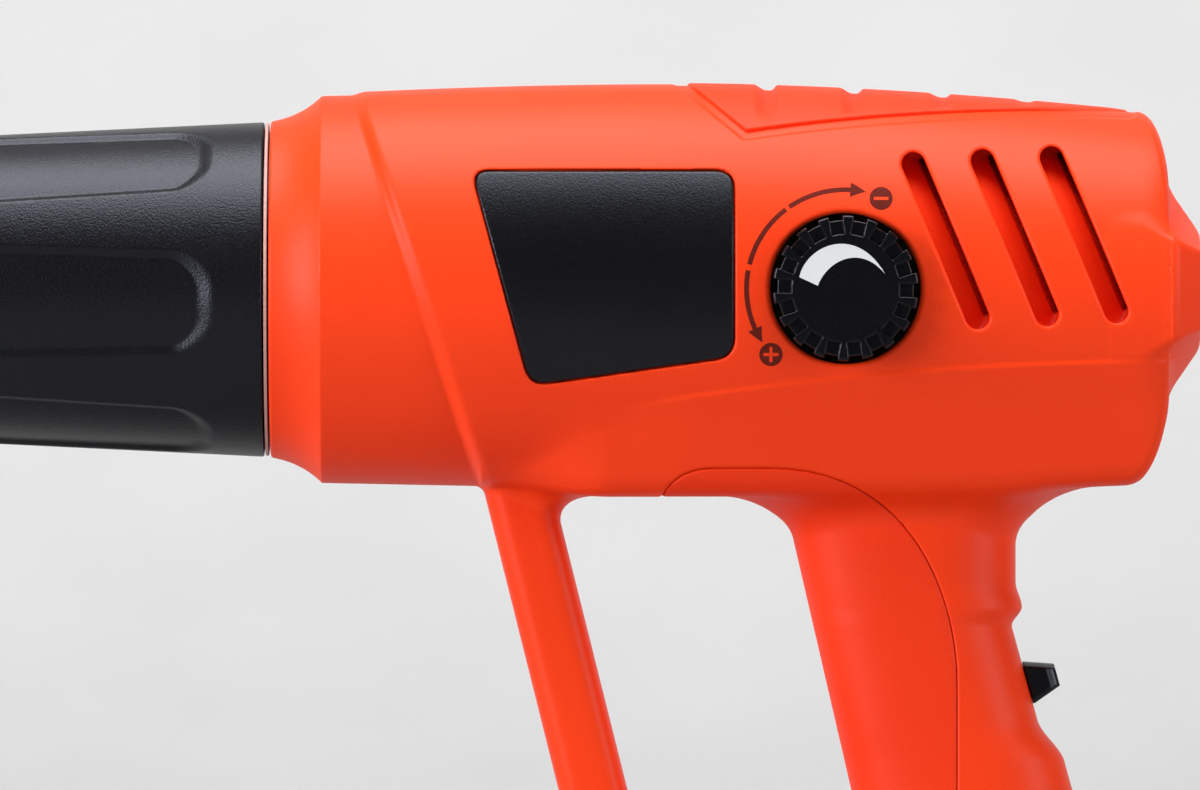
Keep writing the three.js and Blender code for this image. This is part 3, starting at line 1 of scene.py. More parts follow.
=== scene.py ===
import json
import math
import bpy
import numpy as np
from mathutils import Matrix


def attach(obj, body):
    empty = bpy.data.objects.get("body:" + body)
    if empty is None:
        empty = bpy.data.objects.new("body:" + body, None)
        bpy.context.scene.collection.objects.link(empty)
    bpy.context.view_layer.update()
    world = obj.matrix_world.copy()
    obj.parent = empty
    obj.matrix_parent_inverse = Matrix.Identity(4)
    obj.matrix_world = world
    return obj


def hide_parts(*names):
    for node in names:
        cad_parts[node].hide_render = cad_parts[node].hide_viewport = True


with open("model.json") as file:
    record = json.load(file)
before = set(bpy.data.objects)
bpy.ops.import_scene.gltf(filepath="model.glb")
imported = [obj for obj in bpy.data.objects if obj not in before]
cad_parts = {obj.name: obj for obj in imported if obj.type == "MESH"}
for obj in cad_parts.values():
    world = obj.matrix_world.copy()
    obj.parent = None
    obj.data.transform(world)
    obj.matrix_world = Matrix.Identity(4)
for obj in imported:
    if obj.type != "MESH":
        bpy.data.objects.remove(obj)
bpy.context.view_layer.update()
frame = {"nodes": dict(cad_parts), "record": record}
nodes = frame["nodes"]
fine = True
shift = np.array([-120.0, 0.0, 158.0])  # barrel frame to row frame, mm
mmPerMetre = 1000.0
print("frame loaded")


def ramp(v):
    t = np.clip(v, 0.0, 1.0)
    return t * t * (3.0 - 2.0 * t)


def mix(a, b, share):
    return a + (b - a) * share


def roundMax(a, b, radius):  # both solids' common part, edge rounded
    past = np.hypot(np.maximum(a + radius, 0.0), np.maximum(b + radius, 0.0))
    return np.minimum(np.maximum(a, b), -radius) + past


def roundMin(a, b, radius):  # both solids joined, corner filleted
    return -roundMax(-a, -b, radius)


def cutOut(solid, hole, radius):
    return roundMax(solid, -hole, radius)


def roundedBox(across, along, corner):  # round-cornered rectangle, from the distances to its sides
    u, v = across + corner, along + corner
    return np.hypot(np.maximum(u, 0.0), np.maximum(v, 0.0)) + np.minimum(np.maximum(u, v), 0.0) - corner


def polygonDistance(x, z, outline):  # signed, negative inside
    best = None
    odd = None
    for (ax, az), (bx, bz) in zip(outline, np.roll(outline, -1, axis=0)):
        ex, ez = bx - ax, bz - az
        t = np.clip(((x - ax) * ex + (z - az) * ez) / (ex * ex + ez * ez + 1e-12), 0.0, 1.0)
        far = (x - ax - t * ex) ** 2 + (z - az - t * ez) ** 2
        crossing = ((az > z) != (bz > z)) & (x < ax + ex * (z - az) / (ez if abs(ez) > 1e-9 else 1e-9))
        best = far if best is None else np.minimum(best, far)
        odd = crossing if odd is None else odd ^ crossing
    return np.where(odd, -1.0, 1.0) * np.sqrt(best)


def outlineTable(outline, spacing=0.25, margin=14.0):  # distance to an outline, read from a fine grid
    low, high = outline.min(0) - margin, outline.max(0) + margin
    xs, zs = np.arange(low[0], high[0], spacing), np.arange(low[1], high[1], spacing)
    table = polygonDistance(xs[:, None], zs[None, :], outline)

    def distance(x, z):
        u = np.clip((x - low[0]) / spacing, 0.0, len(xs) - 1.001)
        v = np.clip((z - low[1]) / spacing, 0.0, len(zs) - 1.001)
        i, j = u.astype(int), v.astype(int)
        near = mix(table[i, j], table[i, j + 1], v - j)
        far = mix(table[i + 1, j], table[i + 1, j + 1], v - j)
        return mix(near, far, u - i)

    return distance


def bezier(points, count=14):
    p = np.array(points, float)
    t = np.linspace(0.0, 1.0, count)[:, None]
    if len(p) == 3:
        return (1 - t) ** 2 * p[0] + 2 * t * (1 - t) * p[1] + t * t * p[2]
    return (1 - t) ** 3 * p[0] + 3 * t * (1 - t) ** 2 * p[1] + 3 * t * t * (1 - t) * p[2] + t ** 3 * p[3]


def gradient(field, points, h):
    steps = np.eye(3) * h
    return np.stack([(field(*(points + s).T) - field(*(points - s).T)) / (2.0 * h) for s in steps], 1)


def sampleField(field, axes, step, block=8):  # blocks far from the skin keep one value
    xs, ys, zs = axes
    reach = 1.25 * block * step
    values = np.empty((len(xs), len(ys), len(zs)), np.float32)
    starts = [np.arange(0, len(a), block) for a in axes]
    middles = [a[0] + (s + (block - 1) / 2) * step for a, s in zip(axes, starts)]
    for i, middle in zip(starts[0], middles[0]):
        coarse = field(np.array(middle), middles[1][:, None], middles[2][None, :])
        near = np.abs(coarse) < reach
        slab = values[i:i + block]
        slab[:] = np.repeat(np.repeat(coarse, block, 0), block, 1)[None, :len(ys), :len(zs)]
        for row, j in enumerate(starts[1]):
            edges = np.flatnonzero(np.diff(np.concatenate([[0], near[row].astype(int), [0]])))
            for a, b in edges.reshape(-1, 2) * block:
                slab[:, j:j + block, a:b] = field(
                    xs[i:i + block, None, None], ys[None, j:j + block, None], zs[None, None, a:b])
    return values


pull = {"turns": 2, "probe": 0.03, "normalProbe": 0.12, "move": 0.7}  # how points are drawn onto the skin


def meshField(field, low, high, step, seam=False):  # skin of a solid given as a field, in quads
    values = sampleField(field, [np.arange(a, b + step, step) for a, b in zip(low, high)], step)
    inside = values < 0
    corners = [(a, b, c) for a in (0, 1) for b in (0, 1) for c in (0, 1)]
    nx, ny, nz = values.shape
    count = np.zeros((nx - 1, ny - 1, nz - 1), np.uint8)
    for a, b, c in corners:
        count += inside[a:nx - 1 + a, b:ny - 1 + b, c:nz - 1 + c]
    cells = (count > 0) & (count < 8)
    spots = np.argwhere(cells)
    index = np.full(cells.shape, -1, np.int32)
    index[cells] = np.arange(len(spots))
    at = np.stack([values[spots[:, 0] + a, spots[:, 1] + b, spots[:, 2] + c] for a, b, c in corners], 1)
    place = np.zeros((len(spots), 3))
    hits = np.zeros(len(spots))
    for p in range(8):
        for q in range(p + 1, 8):
            if sum(abs(m - n) for m, n in zip(corners[p], corners[q])) != 1:
                continue
            crossed = (at[:, p] < 0) != (at[:, q] < 0)
            gap = np.where(crossed, at[:, p] - at[:, q], 1.0)
            t = np.where(crossed, at[:, p] / gap, 0.0)
            start, end = np.array(corners[p]), np.array(corners[q])
            place += crossed[:, None] * (start + t[:, None] * (end - start))
            hits += crossed
    points = np.array(low) + step * (spots + place / hits[:, None])
    quads = []
    for axis in range(3):
        u, v = (axis + 1) % 3, (axis + 2) % 3
        lowSide = [slice(1, -1)] * 3
        highSide = [slice(1, -1)] * 3
        lowSide[axis], highSide[axis] = slice(0, -1), slice(1, None)
        start, end = inside[tuple(lowSide)], inside[tuple(highSide)]
        for rising in (True, False):
            edge = np.argwhere((start & ~end) if rising else (~start & end))
            edge[:, u] += 1
            edge[:, v] += 1
            ring = []
            for du, dv in ((1, 1), (0, 1), (0, 0), (1, 0)):
                cell = edge.copy()
                cell[:, u] -= du
                cell[:, v] -= dv
                ring.append(index[tuple(cell.T)])
            quads.append(np.stack(ring if rising else ring[::-1], 1))
    onSeam = spots[:, 1] == 0 if seam else np.zeros(len(spots), bool)
    for _ in range(pull["turns"]):
        points[onSeam, 1] = low[1]
        g = gradient(field, points, pull["probe"])
        g[onSeam, 1] = 0.0
        move = field(*points.T)[:, None] * g / (np.sum(g * g, axis=1)[:, None] + 1e-6)
        length = np.linalg.norm(move, axis=1)[:, None]
        points -= move * np.minimum(1.0, pull["move"] * step / (length + 1e-9))
    points[onSeam, 1] = low[1]
    normals = gradient(field, points, pull["normalProbe"])
    normals /= np.linalg.norm(normals, axis=1)[:, None] + 1e-9
    return points, np.concatenate(quads), normals


def makePiece(name, points, faces, material, body, replaced=(), slot=None, normals=None):
    mesh = bpy.data.meshes.new(name)
    world = (np.asarray(points) + shift) / mmPerMetre
    faces = np.asarray(faces, np.int32)
    mesh.vertices.add(len(world))
    mesh.vertices.foreach_set("co", world.astype(np.float32).ravel())
    mesh.loops.add(faces.size)
    mesh.loops.foreach_set("vertex_index", faces.ravel())
    mesh.polygons.add(len(faces))
    mesh.polygons.foreach_set("loop_start", np.arange(0, faces.size, faces.shape[1], dtype=np.int32))
    mesh.update(calc_edges=True)
    mesh.shade_smooth()
    if normals is not None:
        mesh.normals_split_custom_set_from_vertices(np.asarray(normals, np.float32))
    mesh.materials.append(material)
    piece = bpy.data.objects.new(name, mesh)
    bpy.context.scene.collection.objects.link(piece)
    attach(piece, body)
    if replaced:
        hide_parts(*replaced)
    return piece


def stepOf(size):
    return size["step"][0 if fine else 1]


def makeSkin(node, size, field, material, body, slot):  # a fine skin in place of one CAD node
    points, quads, normals = meshField(field, *size["box"], stepOf(size))
    makePiece(node + "_skin", points, quads, material, body, [node], slot, normals)


def hexColor(code):  # sRGB hex to linear
    parts = [int(code[i:i + 2], 16) / 255.0 for i in (1, 3, 5)]
    return [c / 12.92 if c <= 0.04045 else ((c + 0.055) / 1.055) ** 2.4 for c in parts] + [1.0]


def addNode(tree, kind, links=(), **values):
    node = tree.nodes.new(kind)
    for key, value in values.items():
        if key in node.inputs:
            node.inputs[key].default_value = value
        else:
            setattr(node, key, value)
    for socket, source in links:
        tree.links.new(source, node.inputs[socket])
    return node


grainLook = {"tintFrom": 0.7, "tintTo": 1.3, "glossSpread": 0.08, "depth": 0.25}  # depth per grain width


def surface(name, dark, light, rough, grainMm, bump, metal=0.0, mottleMm=40.0, stretch=(1, 1, 1), sheen=0.5,
            glossTint="#ffffff"):
    material = bpy.data.materials.new(name)
    material.use_nodes = True
    tree = material.node_tree
    tree.nodes.clear()
    coord = addNode(tree, "ShaderNodeTexCoord")
    scaled = addNode(tree, "ShaderNodeMapping", [("Vector", coord.outputs["Object"])], Scale=stretch)
    spread = [("Vector", scaled.outputs[0])]
    mottle = addNode(tree, "ShaderNodeTexNoise", spread, Scale=mmPerMetre / mottleMm, Detail=4.0)
    grain = addNode(tree, "ShaderNodeTexNoise", spread, Scale=mmPerMetre / grainMm, Detail=3.0)
    both = addNode(tree, "ShaderNodeMath", [
        (0, mottle.outputs["Fac"]), (1, grain.outputs["Fac"]),
    ], operation="ADD")
    share = addNode(tree, "ShaderNodeMapRange", [("Value", both.outputs[0])], **{
        "From Min": grainLook["tintFrom"], "From Max": grainLook["tintTo"],
    })
    tint = addNode(tree, "ShaderNodeMix", [("Factor", share.outputs[0])], data_type="RGBA")
    for socket, tone in ((6, dark), (7, light)):  # colours A and B
        tint.inputs[socket].default_value = hexColor(tone)
    gloss = addNode(tree, "ShaderNodeMapRange", [("Value", grain.outputs["Fac"])], **{
        "To Min": rough - grainLook["glossSpread"], "To Max": rough + grainLook["glossSpread"],
    })
    relief = addNode(tree, "ShaderNodeBump", [("Height", grain.outputs["Fac"])], Strength=bump,
                     Distance=grainLook["depth"] * grainMm / mmPerMetre)
    shader = addNode(tree, "ShaderNodeBsdfPrincipled", [
        ("Base Color", tint.outputs[2]), ("Roughness", gloss.outputs[0]), ("Normal", relief.outputs[0]),
    ], Metallic=metal, **{"Specular IOR Level": sheen, "Specular Tint": hexColor(glossTint)})
    addNode(tree, "ShaderNodeOutputMaterial", [("Surface", shader.outputs[0])])
    return material


coolGloss = "#e6eaff"  # black plastics mirror the studio slightly cold
# satin orange moulding; the spark-eroded grain is drawn coarser than life, and shows only near highlights
orangeAbs = surface("orangeAbsSparkEroded", "#ef3a10", "#f64013", 0.46, 0.45, 0.16, mottleMm=60.0,
                    sheen=0.18)
# same orange, a shade deeper and duller, with a softer grain
softOrange = surface("softOrangeOverMoulded", "#ea350f", "#f13b13", 0.52, 0.5, 0.14, mottleMm=50.0,
                     sheen=0.18)
# black, leathery grain with small broken highlights
noseBlack = surface("blackNylonGrained", "#060608", "#0a0a0d", 0.34, 0.42, 0.95, mottleMm=25.0, sheen=0.34,
                    glossTint=coolGloss)
# black plate, very fine even grain, drawn coarser than life so that it shows
plateBlack = surface("blackPlateFineGrain", "#040405", "#080809", 0.34, 0.4, 0.7, mottleMm=20.0, sheen=0.35,
                     glossTint=coolGloss)
# deep black, tighter gloss than the nose
dialBlack = surface("blackAbsSemiGloss", "#030304", "#060607", 0.3, 0.6, 0.15, mottleMm=15.0, sheen=0.35,
                    glossTint=coolGloss)
# pale pinkish ring, matt
sealPale = surface("paleSiliconeMoulded", "#b98d86", "#cda39b", 0.6, 0.6, 0.2, sheen=0.2)
# flat white ink
inkWhite = surface("whiteInkPadPrinted", "#cdcfd2", "#d9dbde", 0.5, 0.2, 0.1, sheen=0.2)
# thin brown-red ink, a little of the orange shows through
inkMaroon = surface("maroonInkPadPrinted", "#48120d", "#74271c", 0.7, 0.35, 0.1, sheen=0.08)
# bright steel with drawing lines round the tube
steelDrawn = surface("steelDrawnTube", "#8d8a84", "#b4b1aa", 0.32, 0.5, 0.2, metal=1.0, stretch=(6, 1, 1))
# dark dull steel, even all over
steelDark = surface("steelPressedDark", "#55575b", "#74767a", 0.45, 0.5, 0.2, metal=1.0)
# pale grey metal with a soft shine
steelZinc = surface("steelZincPlated", "#8f9093", "#acadb0", 0.35, 0.4, 0.2, metal=1.0)
# dull yellow metal, finely pitted
brassSintered = surface("brassSintered", "#a07d33", "#c19d4a", 0.4, 0.3, 0.3, metal=1.0)
# red-brown metal, clean and bright
copperTurned = surface("copperTurned", "#95532f", "#b36c42", 0.35, 0.4, 0.2, metal=1.0)
# straw-coloured flakes, almost matt
micaPressed = surface("micaPressedSheet", "#b39c70", "#cfbb93", 0.65, 1.2, 0.3)
# chalky off-white
ceramicFired = surface("ceramicFiredUnglazed", "#d9d2c2", "#ebe6da", 0.8, 0.8, 0.3)
# smooth green lacquer, half gloss
boardGreen = surface("boardSolderMask", "#1f5a2c", "#2d6c3b", 0.4, 0.6, 0.1)
# charcoal plastic, half matt
plasticInner = surface("charcoalNylonMoulded", "#232327", "#303035", 0.5, 0.6, 0.2)
# dusty black
carbonPressed = surface("carbonPressedBlock", "#1b1b1b", "#2b2b2b", 0.7, 0.4, 0.3)
# dark grey-brown, like fired stone
ferriteSintered = surface("ferriteSintered", "#2d2b2a", "#423f3d", 0.7, 0.5, 0.3)
# black without shine
rubberMoulded = surface("rubberMouldedMatt", "#121213", "#1b1b1d", 0.8, 0.6, 0.3)
print("materials made")

body = {  # all sizes in mm; x runs back from the mouth, w or y across, z up from the axis
    "length": 179.0, "mouth": 33.6, "flare": 10.2, "flareLinear": 1.2, "flareSquare": -0.2,
    "flareBend": 0.2, "collar": 38.7, "collarEnd": 46.0, "draft": 0.02, "cover": 40.0, "coverFront": 16.5,
    "coverLean": 0.325, "coverSlope": 0.95, "coverEdge": 2.4, "coverFillet": 1.2, "crown": 80.0,
    "top": 41.7, "drop": 41.4, "half": 40.98, "tailTop": 35.6, "tailDrop": 38.6, "tailHalf": 39.0,
    "fall": 1.75, "tailRound": 6.0, "tailInset": 19.0, "sideShare": 0.15, "tailEdge": 2.2, "endEdge": 0.5,
    "power": 2.15, "wall": 2.6, "step": (0.5, 1.6), "box": ((-1.2, 0.15, -159.2), (186.6, 42.4, 42.8)),
}


def swell(x, middle, tail):
    u = np.clip((x - body["coverFront"]) / (body["crown"] - body["coverFront"]), 0.0, 1.0)
    v = np.clip((x - body["crown"]) / (body["length"] - body["crown"]), 0.0, 1.0)
    return middle - (middle - body["cover"]) * (1.0 - u) ** 2 - (middle - tail) * v ** body["fall"]


def tailTurn(x, run):  # 0 where the rear edge starts to turn in, nearly 1 at its end
    return np.clip((x - body["length"] + run) / run, 0.0, 0.999)


def tailInset(x, run, deep):  # how far the rear edge has turned in
    into = tailTurn(x, run)
    return deep * (1.0 - np.sqrt(1.0 - into * into))


def tailSlope(x, run, deep):  # keeps distances true where the edge turns in fast
    into = tailTurn(x, run)
    return np.sqrt(1.0 + (deep / run * into) ** 2 / (1.0 - into * into))


def barrelSizes(x, inset=0.0):
    less = body["sideShare"] * tailInset(x + inset, body["tailRound"], body["tailInset"])
    rows = (("top", "tailTop", 0.0), ("drop", "tailDrop", 0.0), ("half", "tailHalf", less))
    return [swell(x, body[middle], body[tail]) - inset - turned for middle, tail, turned in rows]


def flankAt(x, z):
    top, drop, half = barrelSizes(x)
    share = np.minimum(np.where(z > 0, z / top, -z / drop), 1.0)
    return half * (1.0 - share ** body["power"]) ** (1.0 / body["power"])


def barrelField(x, w, z, inset=0.0):
    top, drop, half = barrelSizes(x, inset)
    p = body["power"]
    high = np.where(z > 0, top, drop)
    norm = ((w / half) ** p + (np.abs(z) / high) ** p) ** (1.0 / p)
    sideSlope = tailSlope(x + inset, body["tailRound"], body["tailInset"] * body["sideShare"])
    sides = (norm - 1.0) * half / sideSlope
    run = np.where(z > 0, body["tailRound"], keel["tailRun"])
    deep = np.where(z > 0, body["tailInset"], keel["tailDeep"])
    end = (np.abs(z) - high + tailInset(x + inset, run, deep)) / tailSlope(x + inset, run, deep)
    return roundMax(roundMax(sides, end, body["tailEdge"]), x - body["length"] + inset, body["endEdge"])


def collarField(x, w, z):
    b, a = body["flare"] * body["flareLinear"], body["flare"] * body["flareSquare"]
    along = np.clip(x, 0.0, body["flare"])
    t = (-b + np.sqrt(np.maximum(b * b + 4.0 * a * along, 0.0))) / (2.0 * a)  # place on the flare's curve
    bend = mix(body["mouth"], body["collar"], body["flareBend"])
    radius = (1 - t) ** 2 * body["mouth"] + 2 * t * (1 - t) * bend + t * t * body["collar"]
    radius = radius + body["draft"] * np.maximum(x - body["flare"], 0.0)
    return roundMax(np.hypot(w, z) - radius, np.maximum(-x, x - body["collarEnd"]), body["endEdge"])


def coverField(x, z, barrel):
    edge = body["coverFront"] + body["coverLean"] * (body["cover"] - z)
    return roundMax(barrel, (edge - x) * body["coverSlope"], body["coverEdge"])


keel = {
    "start": 42.0, "blend": 26.0, "drop": 42.0, "tailDrop": 39.6, "half": 29.0, "round": 5.0,
    "creaseFront": 24.0, "creaseRear": 14.5, "proud": 0.4, "proudRate": 6.0, "buried": 0.6, "under": 1.3,
    "least": 2.0, "tailRun": 9.0, "tailDeep": 23.0, "edge": 0.5, "fillet": 0.8,
}


def keelField(x, w, z):
    grown = ramp((x - keel["start"]) / keel["blend"])
    rear = keel["start"] + keel["blend"]
    back = np.clip((x - rear) / (body["length"] - rear), 0.0, 1.0)
    less = tailInset(x, keel["tailRun"], keel["tailDeep"])
    crease = mix(keel["creaseRear"], keel["creaseFront"], (1.0 - back) ** 2)
    creaseHalf = flankAt(x, -crease) + mix(-keel["buried"], keel["proud"], ramp(keel["proudRate"] * back))
    full = mix(keel["drop"], keel["tailDrop"], ramp(2.0 * back - 1.0))
    drop = mix(barrelSizes(x)[1] - keel["under"], full, grown)
    half = mix(flankAt(x, keel["round"] - drop) - keel["under"], keel["half"], grown)
    dy, dz = half - creaseHalf, np.minimum(keel["round"] - drop + crease, -keel["least"])
    flank = ((w - creaseHalf) * -dz + (z + crease) * dy) / np.hypot(dy, dz)
    end = (less - drop - z) / tailSlope(x, keel["tailRun"], keel["tailDeep"])
    under = roundMax(roundMax(flank, -drop - z, keel["round"]), end, body["tailEdge"])
    bounds = np.maximum(np.maximum(z + crease, x - body["length"]), keel["start"] - x)
    return roundMax(under, bounds, keel["edge"])


grip = {
    "front": 105.8, "frontDatum": 56.0, "frontLean": 0.2316, "neck": 148.9, "rear": 150.1, "lip": 63.2,
    "lipRun": 4.7, "rearLean": 0.275, "half": 18.5, "power": 2.8, "scoop": 3.1, "scoopLength": 31.0,
    "scoopIn": 4.3, "scoopOut": 8.0, "top": 26.0, "bottom": 150.0, "wall": 4.2, "hollowTop": 30.0,
    "hollowEnd": 140.0,
    "filletX": [100.0, 118.0, 136.0, 152.0], "fillets": [13.0, 9.0, 9.0, 17.0],  # tightest on the flanks
}


def gripEdges(s):
    front = grip["front"] + (s - grip["frontDatum"]) * grip["frontLean"]
    lip = mix(grip["neck"], grip["rear"], ramp((s - grip["lip"] + grip["lipRun"]) / grip["lipRun"]))
    back = lip + np.maximum(s - grip["lip"], 0.0) * grip["rearLean"]
    into = ramp((s - grip["lip"]) / grip["scoopIn"])
    outOf = ramp((grip["lip"] + grip["scoopLength"] - s) / grip["scoopOut"])
    return front, back - grip["scoop"] * into * outOf


def ovalField(x, w, front, rear, half, power):
    depth = (rear - front) / 2.0
    u, v = np.abs(x - front - depth) / depth, w / half
    norm = np.maximum(u ** power + v ** power, 0.01) ** (1.0 / power)
    slope = norm ** (1.0 - power) * np.hypot(u ** (power - 1.0) / depth, v ** (power - 1.0) / half)
    return (norm - 1.0) / np.maximum(slope, 0.02)  # floors keep the middle finite


def gripField(x, w, z):
    front, rear = gripEdges(-z)
    oval = ovalField(x, w, front, rear, grip["half"], grip["power"])
    return np.maximum(oval, np.maximum(z + grip["top"], -z - grip["bottom"]))


def filletAt(piece, x):  # radius of the fillet where a piece runs into the form above it
    return np.interp(np.asarray(x, float), piece["filletX"], piece["fillets"])


strut = {
    "front": 48.0, "datum": 62.0, "lean": 0.25, "depth": 13.8, "half": 11.0, "power": 4.0, "chamfer": 2.6,
    "slant": 0.707, "edge": 0.8, "top": 33.0, "bottom": 156.0, "filletX": [45.0, 58.0],
    "fillets": [1.5, 9.0],
}


def strutField(x, w, z):
    front = strut["front"] - (z + strut["datum"]) * strut["lean"]
    bar = ovalField(x, w, front, front + strut["depth"], strut["half"], strut["power"])
    bevel = (front - x + w - strut["half"] + strut["chamfer"]) * strut["slant"]
    length = np.maximum(z + strut["top"], -z - strut["bottom"])
    return np.maximum(roundMax(bar, bevel, strut["edge"]), length)


foot = {
    "front": 58.0, "rear": 182.0, "half": 20.0, "corner": 9.0, "height": 16.0, "under": 158.0,
    "bevel": 2.0, "filletX": [66.0, 84.0, 122.0, 129.0, 164.0, 173.0],
    "fillets": [1.0, 10.0, 10.0, 1.0, 1.0, 8.0],  # wide inside the loop and at the heel
}


def footField(x, w, z):
    middle, reach = (foot["front"] + foot["rear"]) / 2.0, (foot["rear"] - foot["front"]) / 2.0
    plan = roundedBox(np.abs(x - middle) - reach, w - foot["half"], foot["corner"])
    thick = foot["height"] / 2.0
    return roundMax(plan, np.abs(z + foot["under"] - thick) - thick, foot["bevel"])


boss = {
    "depth": 6.4, "root": 12.0, "top": 20.3, "drop": 21.0, "half": 38.4, "flare": 0.22, "flat": 15.0,
    "side": 13.2, "sideFall": 0.4, "from": -6.0, "edge": 1.5, "bend": 1.0, "taper": 9.0,
    "flankRound": 1.5, "round": 0.8, "slant": 0.8, "fillet": 1.8,
}


def bossField(x, w, z):
    back = x - body["length"]
    less = boss["taper"] * np.clip(back / boss["depth"], 0.0, 1.0)
    past = back - boss["edge"]
    drawn = boss["taper"] / (boss["depth"] - boss["edge"]) * (past + np.hypot(past, boss["bend"])) / 2.0
    middle = (boss["top"] - boss["drop"]) / 2.0
    high = np.where(z > middle, z - middle, middle - z)
    top = (boss["top"] + boss["drop"]) / 2.0 - less
    half, flat = boss["half"] - drawn, boss["flat"] - less / 2.0
    side = boss["side"] - boss["sideFall"] * np.maximum(back - boss["from"], 0.0)
    skin = flankAt(np.minimum(x, body["length"] + boss["from"]), z)
    flank = w - skin - boss["flare"] * (back - boss["from"]) + drawn
    slant = ((w - flat) * (top - side) + (high - top) * (half - flat)) / np.hypot(top - side, half - flat)
    ring = roundMax(roundMax(high - top, flank, boss["flankRound"]), slant, boss["round"]) * boss["slant"]
    return roundMax(ring, np.maximum(back - boss["depth"], -boss["root"] - back), boss["round"])


def outerField(x, w, z, barrel):
    d = roundMin(collarField(x, w, z), coverField(x, z, barrel), body["coverFillet"])
    d = roundMin(d, keelField(x, w, z), keel["fillet"])
    d = roundMin(d, gripField(x, w, z), filletAt(grip, x))
    d = roundMin(d, strutField(x, w, z), filletAt(strut, x))
    d = np.maximum(roundMin(d, footField(x, w, z), filletAt(foot, x)), -foot["under"] - z)
    return roundMin(d, bossField(x, w, z), boss["fillet"])


def handleSkin(x, w, z):  # keel and handle alone, where the grip lies
    return roundMin(keelField(x, w, z), gripField(x, w, z), filletAt(grip, x))


plate = {
    "front": 40.0, "rear": 92.6, "top": 23.6, "dropFront": 19.5, "dropRear": 13.7, "leanShare": 0.84,
    "corner": 4.0, "cornerPoints": 7, "sunk": 0.1, "thick": 1.2, "gap": 0.3, "edge": 0.4, "recess": 1.5,
    "inner": 5.0, "step": (0.4, 1.0), "box": ((38.0, -42.5, -21.0), (94.0, -31.0, 25.5)),
}


def plateOutline():
    lean = body["coverLean"] * plate["leanShare"] * (plate["top"] + plate["dropFront"])
    corners = np.array([
        (plate["front"], plate["top"]), (plate["front"] + lean, -plate["dropFront"]),
        (plate["rear"], -plate["dropRear"]), (plate["rear"], plate["top"]),
    ])
    ring = []
    for before, here, after in zip(np.roll(corners, 1, 0), corners, np.roll(corners, -1, 0)):
        start = here + (before - here) / np.linalg.norm(before - here) * plate["corner"]
        end = here + (after - here) / np.linalg.norm(after - here) * plate["corner"]
        ring.extend(bezier([start, here, end], plate["cornerPoints"]))
    return np.array(ring)


pad = {
    "front": 82.6, "shoulder": 12.3, "shoulderZ": 31.4, "rear": 171.2, "rearZ": 35.8, "bow": 1.8,
    "bowAt": 0.46, "above": 60.0, "lowest": 22.0, "rise": 0.35, "edge": 0.3, "seat": 2.0, "rim": 0.5,
    "seatRun": 1.6, "moat": 0.4, "moatFlat": 1.3, "moatRun": 0.8, "wall": 4.8, "sink": 0.3,
    "step": (0.4, 1.2), "box": ((80.0, -32.0, 29.0), (173.0, 32.0, 43.5)),
    "grooves": [(99.4, 1.6), (116.6, 1.5), (134.2, 1.1), (151.0, 0.6)],  # place and depth
    "grooveFront": 3.0, "grooveFall": 2.6, "grooveRear": 1.9, "grooveRise": 1.3, "grooveFlat": 1.0,
    "grooveRun": 8.0, "grooveEnd": 1.6,
}


def padBed(spot):  # depth of the housing's skin under the pad and in the shallow moat round it
    moat = pad["moat"] * (1.0 - ramp((spot - pad["moatFlat"]) / pad["moatRun"]))
    return moat + pad["seat"] * ramp((-spot - pad["rim"]) / pad["seatRun"])


def padPlace(x, w, z, barrel):  # spot on the outline straight above a point, edges stand square to the skin
    top, _, half = barrelSizes(x)
    power = body["power"] - 1.0
    across, up = (w / half) ** power / half, (np.maximum(z, 0.0) / top) ** power / top
    return padSpot(x, z - barrel * up / (np.hypot(across, up) + 1e-9))


def padOutline():
    lowX, lowZ = pad["front"] + pad["shoulder"], pad["shoulderZ"]
    slope = (body["top"] - lowZ) / pad["shoulder"]
    bend = (mix(lowX, pad["rear"], pad["bowAt"]), pad["rearZ"] + pad["bow"] / 2)
    edge = bezier([(lowX, lowZ), bend, (pad["rear"], pad["rearZ"])], 16)
    high = pad["above"]
    return np.vstack([edge, [(pad["rear"], high), (lowX - (high - lowZ) / slope, high)]])


inlay = {
    "front": 77.7, "frontLow": 55.5, "frontHigh": 42.0, "top": 35.6, "rear": 136.9, "shoulder": 78.6,
    "end": 130.0, "nose": 11.0, "tail": 16.0, "crestBend": 0.85, "shoulderBend": 0.6, "endAt": 0.4,
    "sunk": 0.05, "thick": 1.5, "seat": 1.8, "gap": 0.03, "edge": 0.6, "step": (0.5, 1.2),
    "box": ((76.0, -31.0, -132.0), (139.0, 31.0, -34.0)),
}


def inlayOutline():
    front, rear, top, end = inlay["front"], inlay["rear"], -inlay["top"], -inlay["end"]
    high, shoulder = -inlay["frontHigh"], -inlay["shoulder"]
    nose, tail = inlay["nose"], inlay["tail"]
    crest = (mix(front, rear, inlay["crestBend"]), top)
    bend = (rear, mix(top, shoulder, inlay["shoulderBend"]))
    return np.vstack([
        [(front, -inlay["frontLow"]), (front, high)],
        bezier([(front, high), (front + nose / 4, top), (front + nose, top)], 10)[1:],
        bezier([(front + 2 * nose, top), crest, bend, (rear, shoulder)], 22),
        bezier([(rear, end + tail), (rear, end), (rear - tail, end)], 10),
        [(mix(front, rear, inlay["endAt"]), end)],
    ])


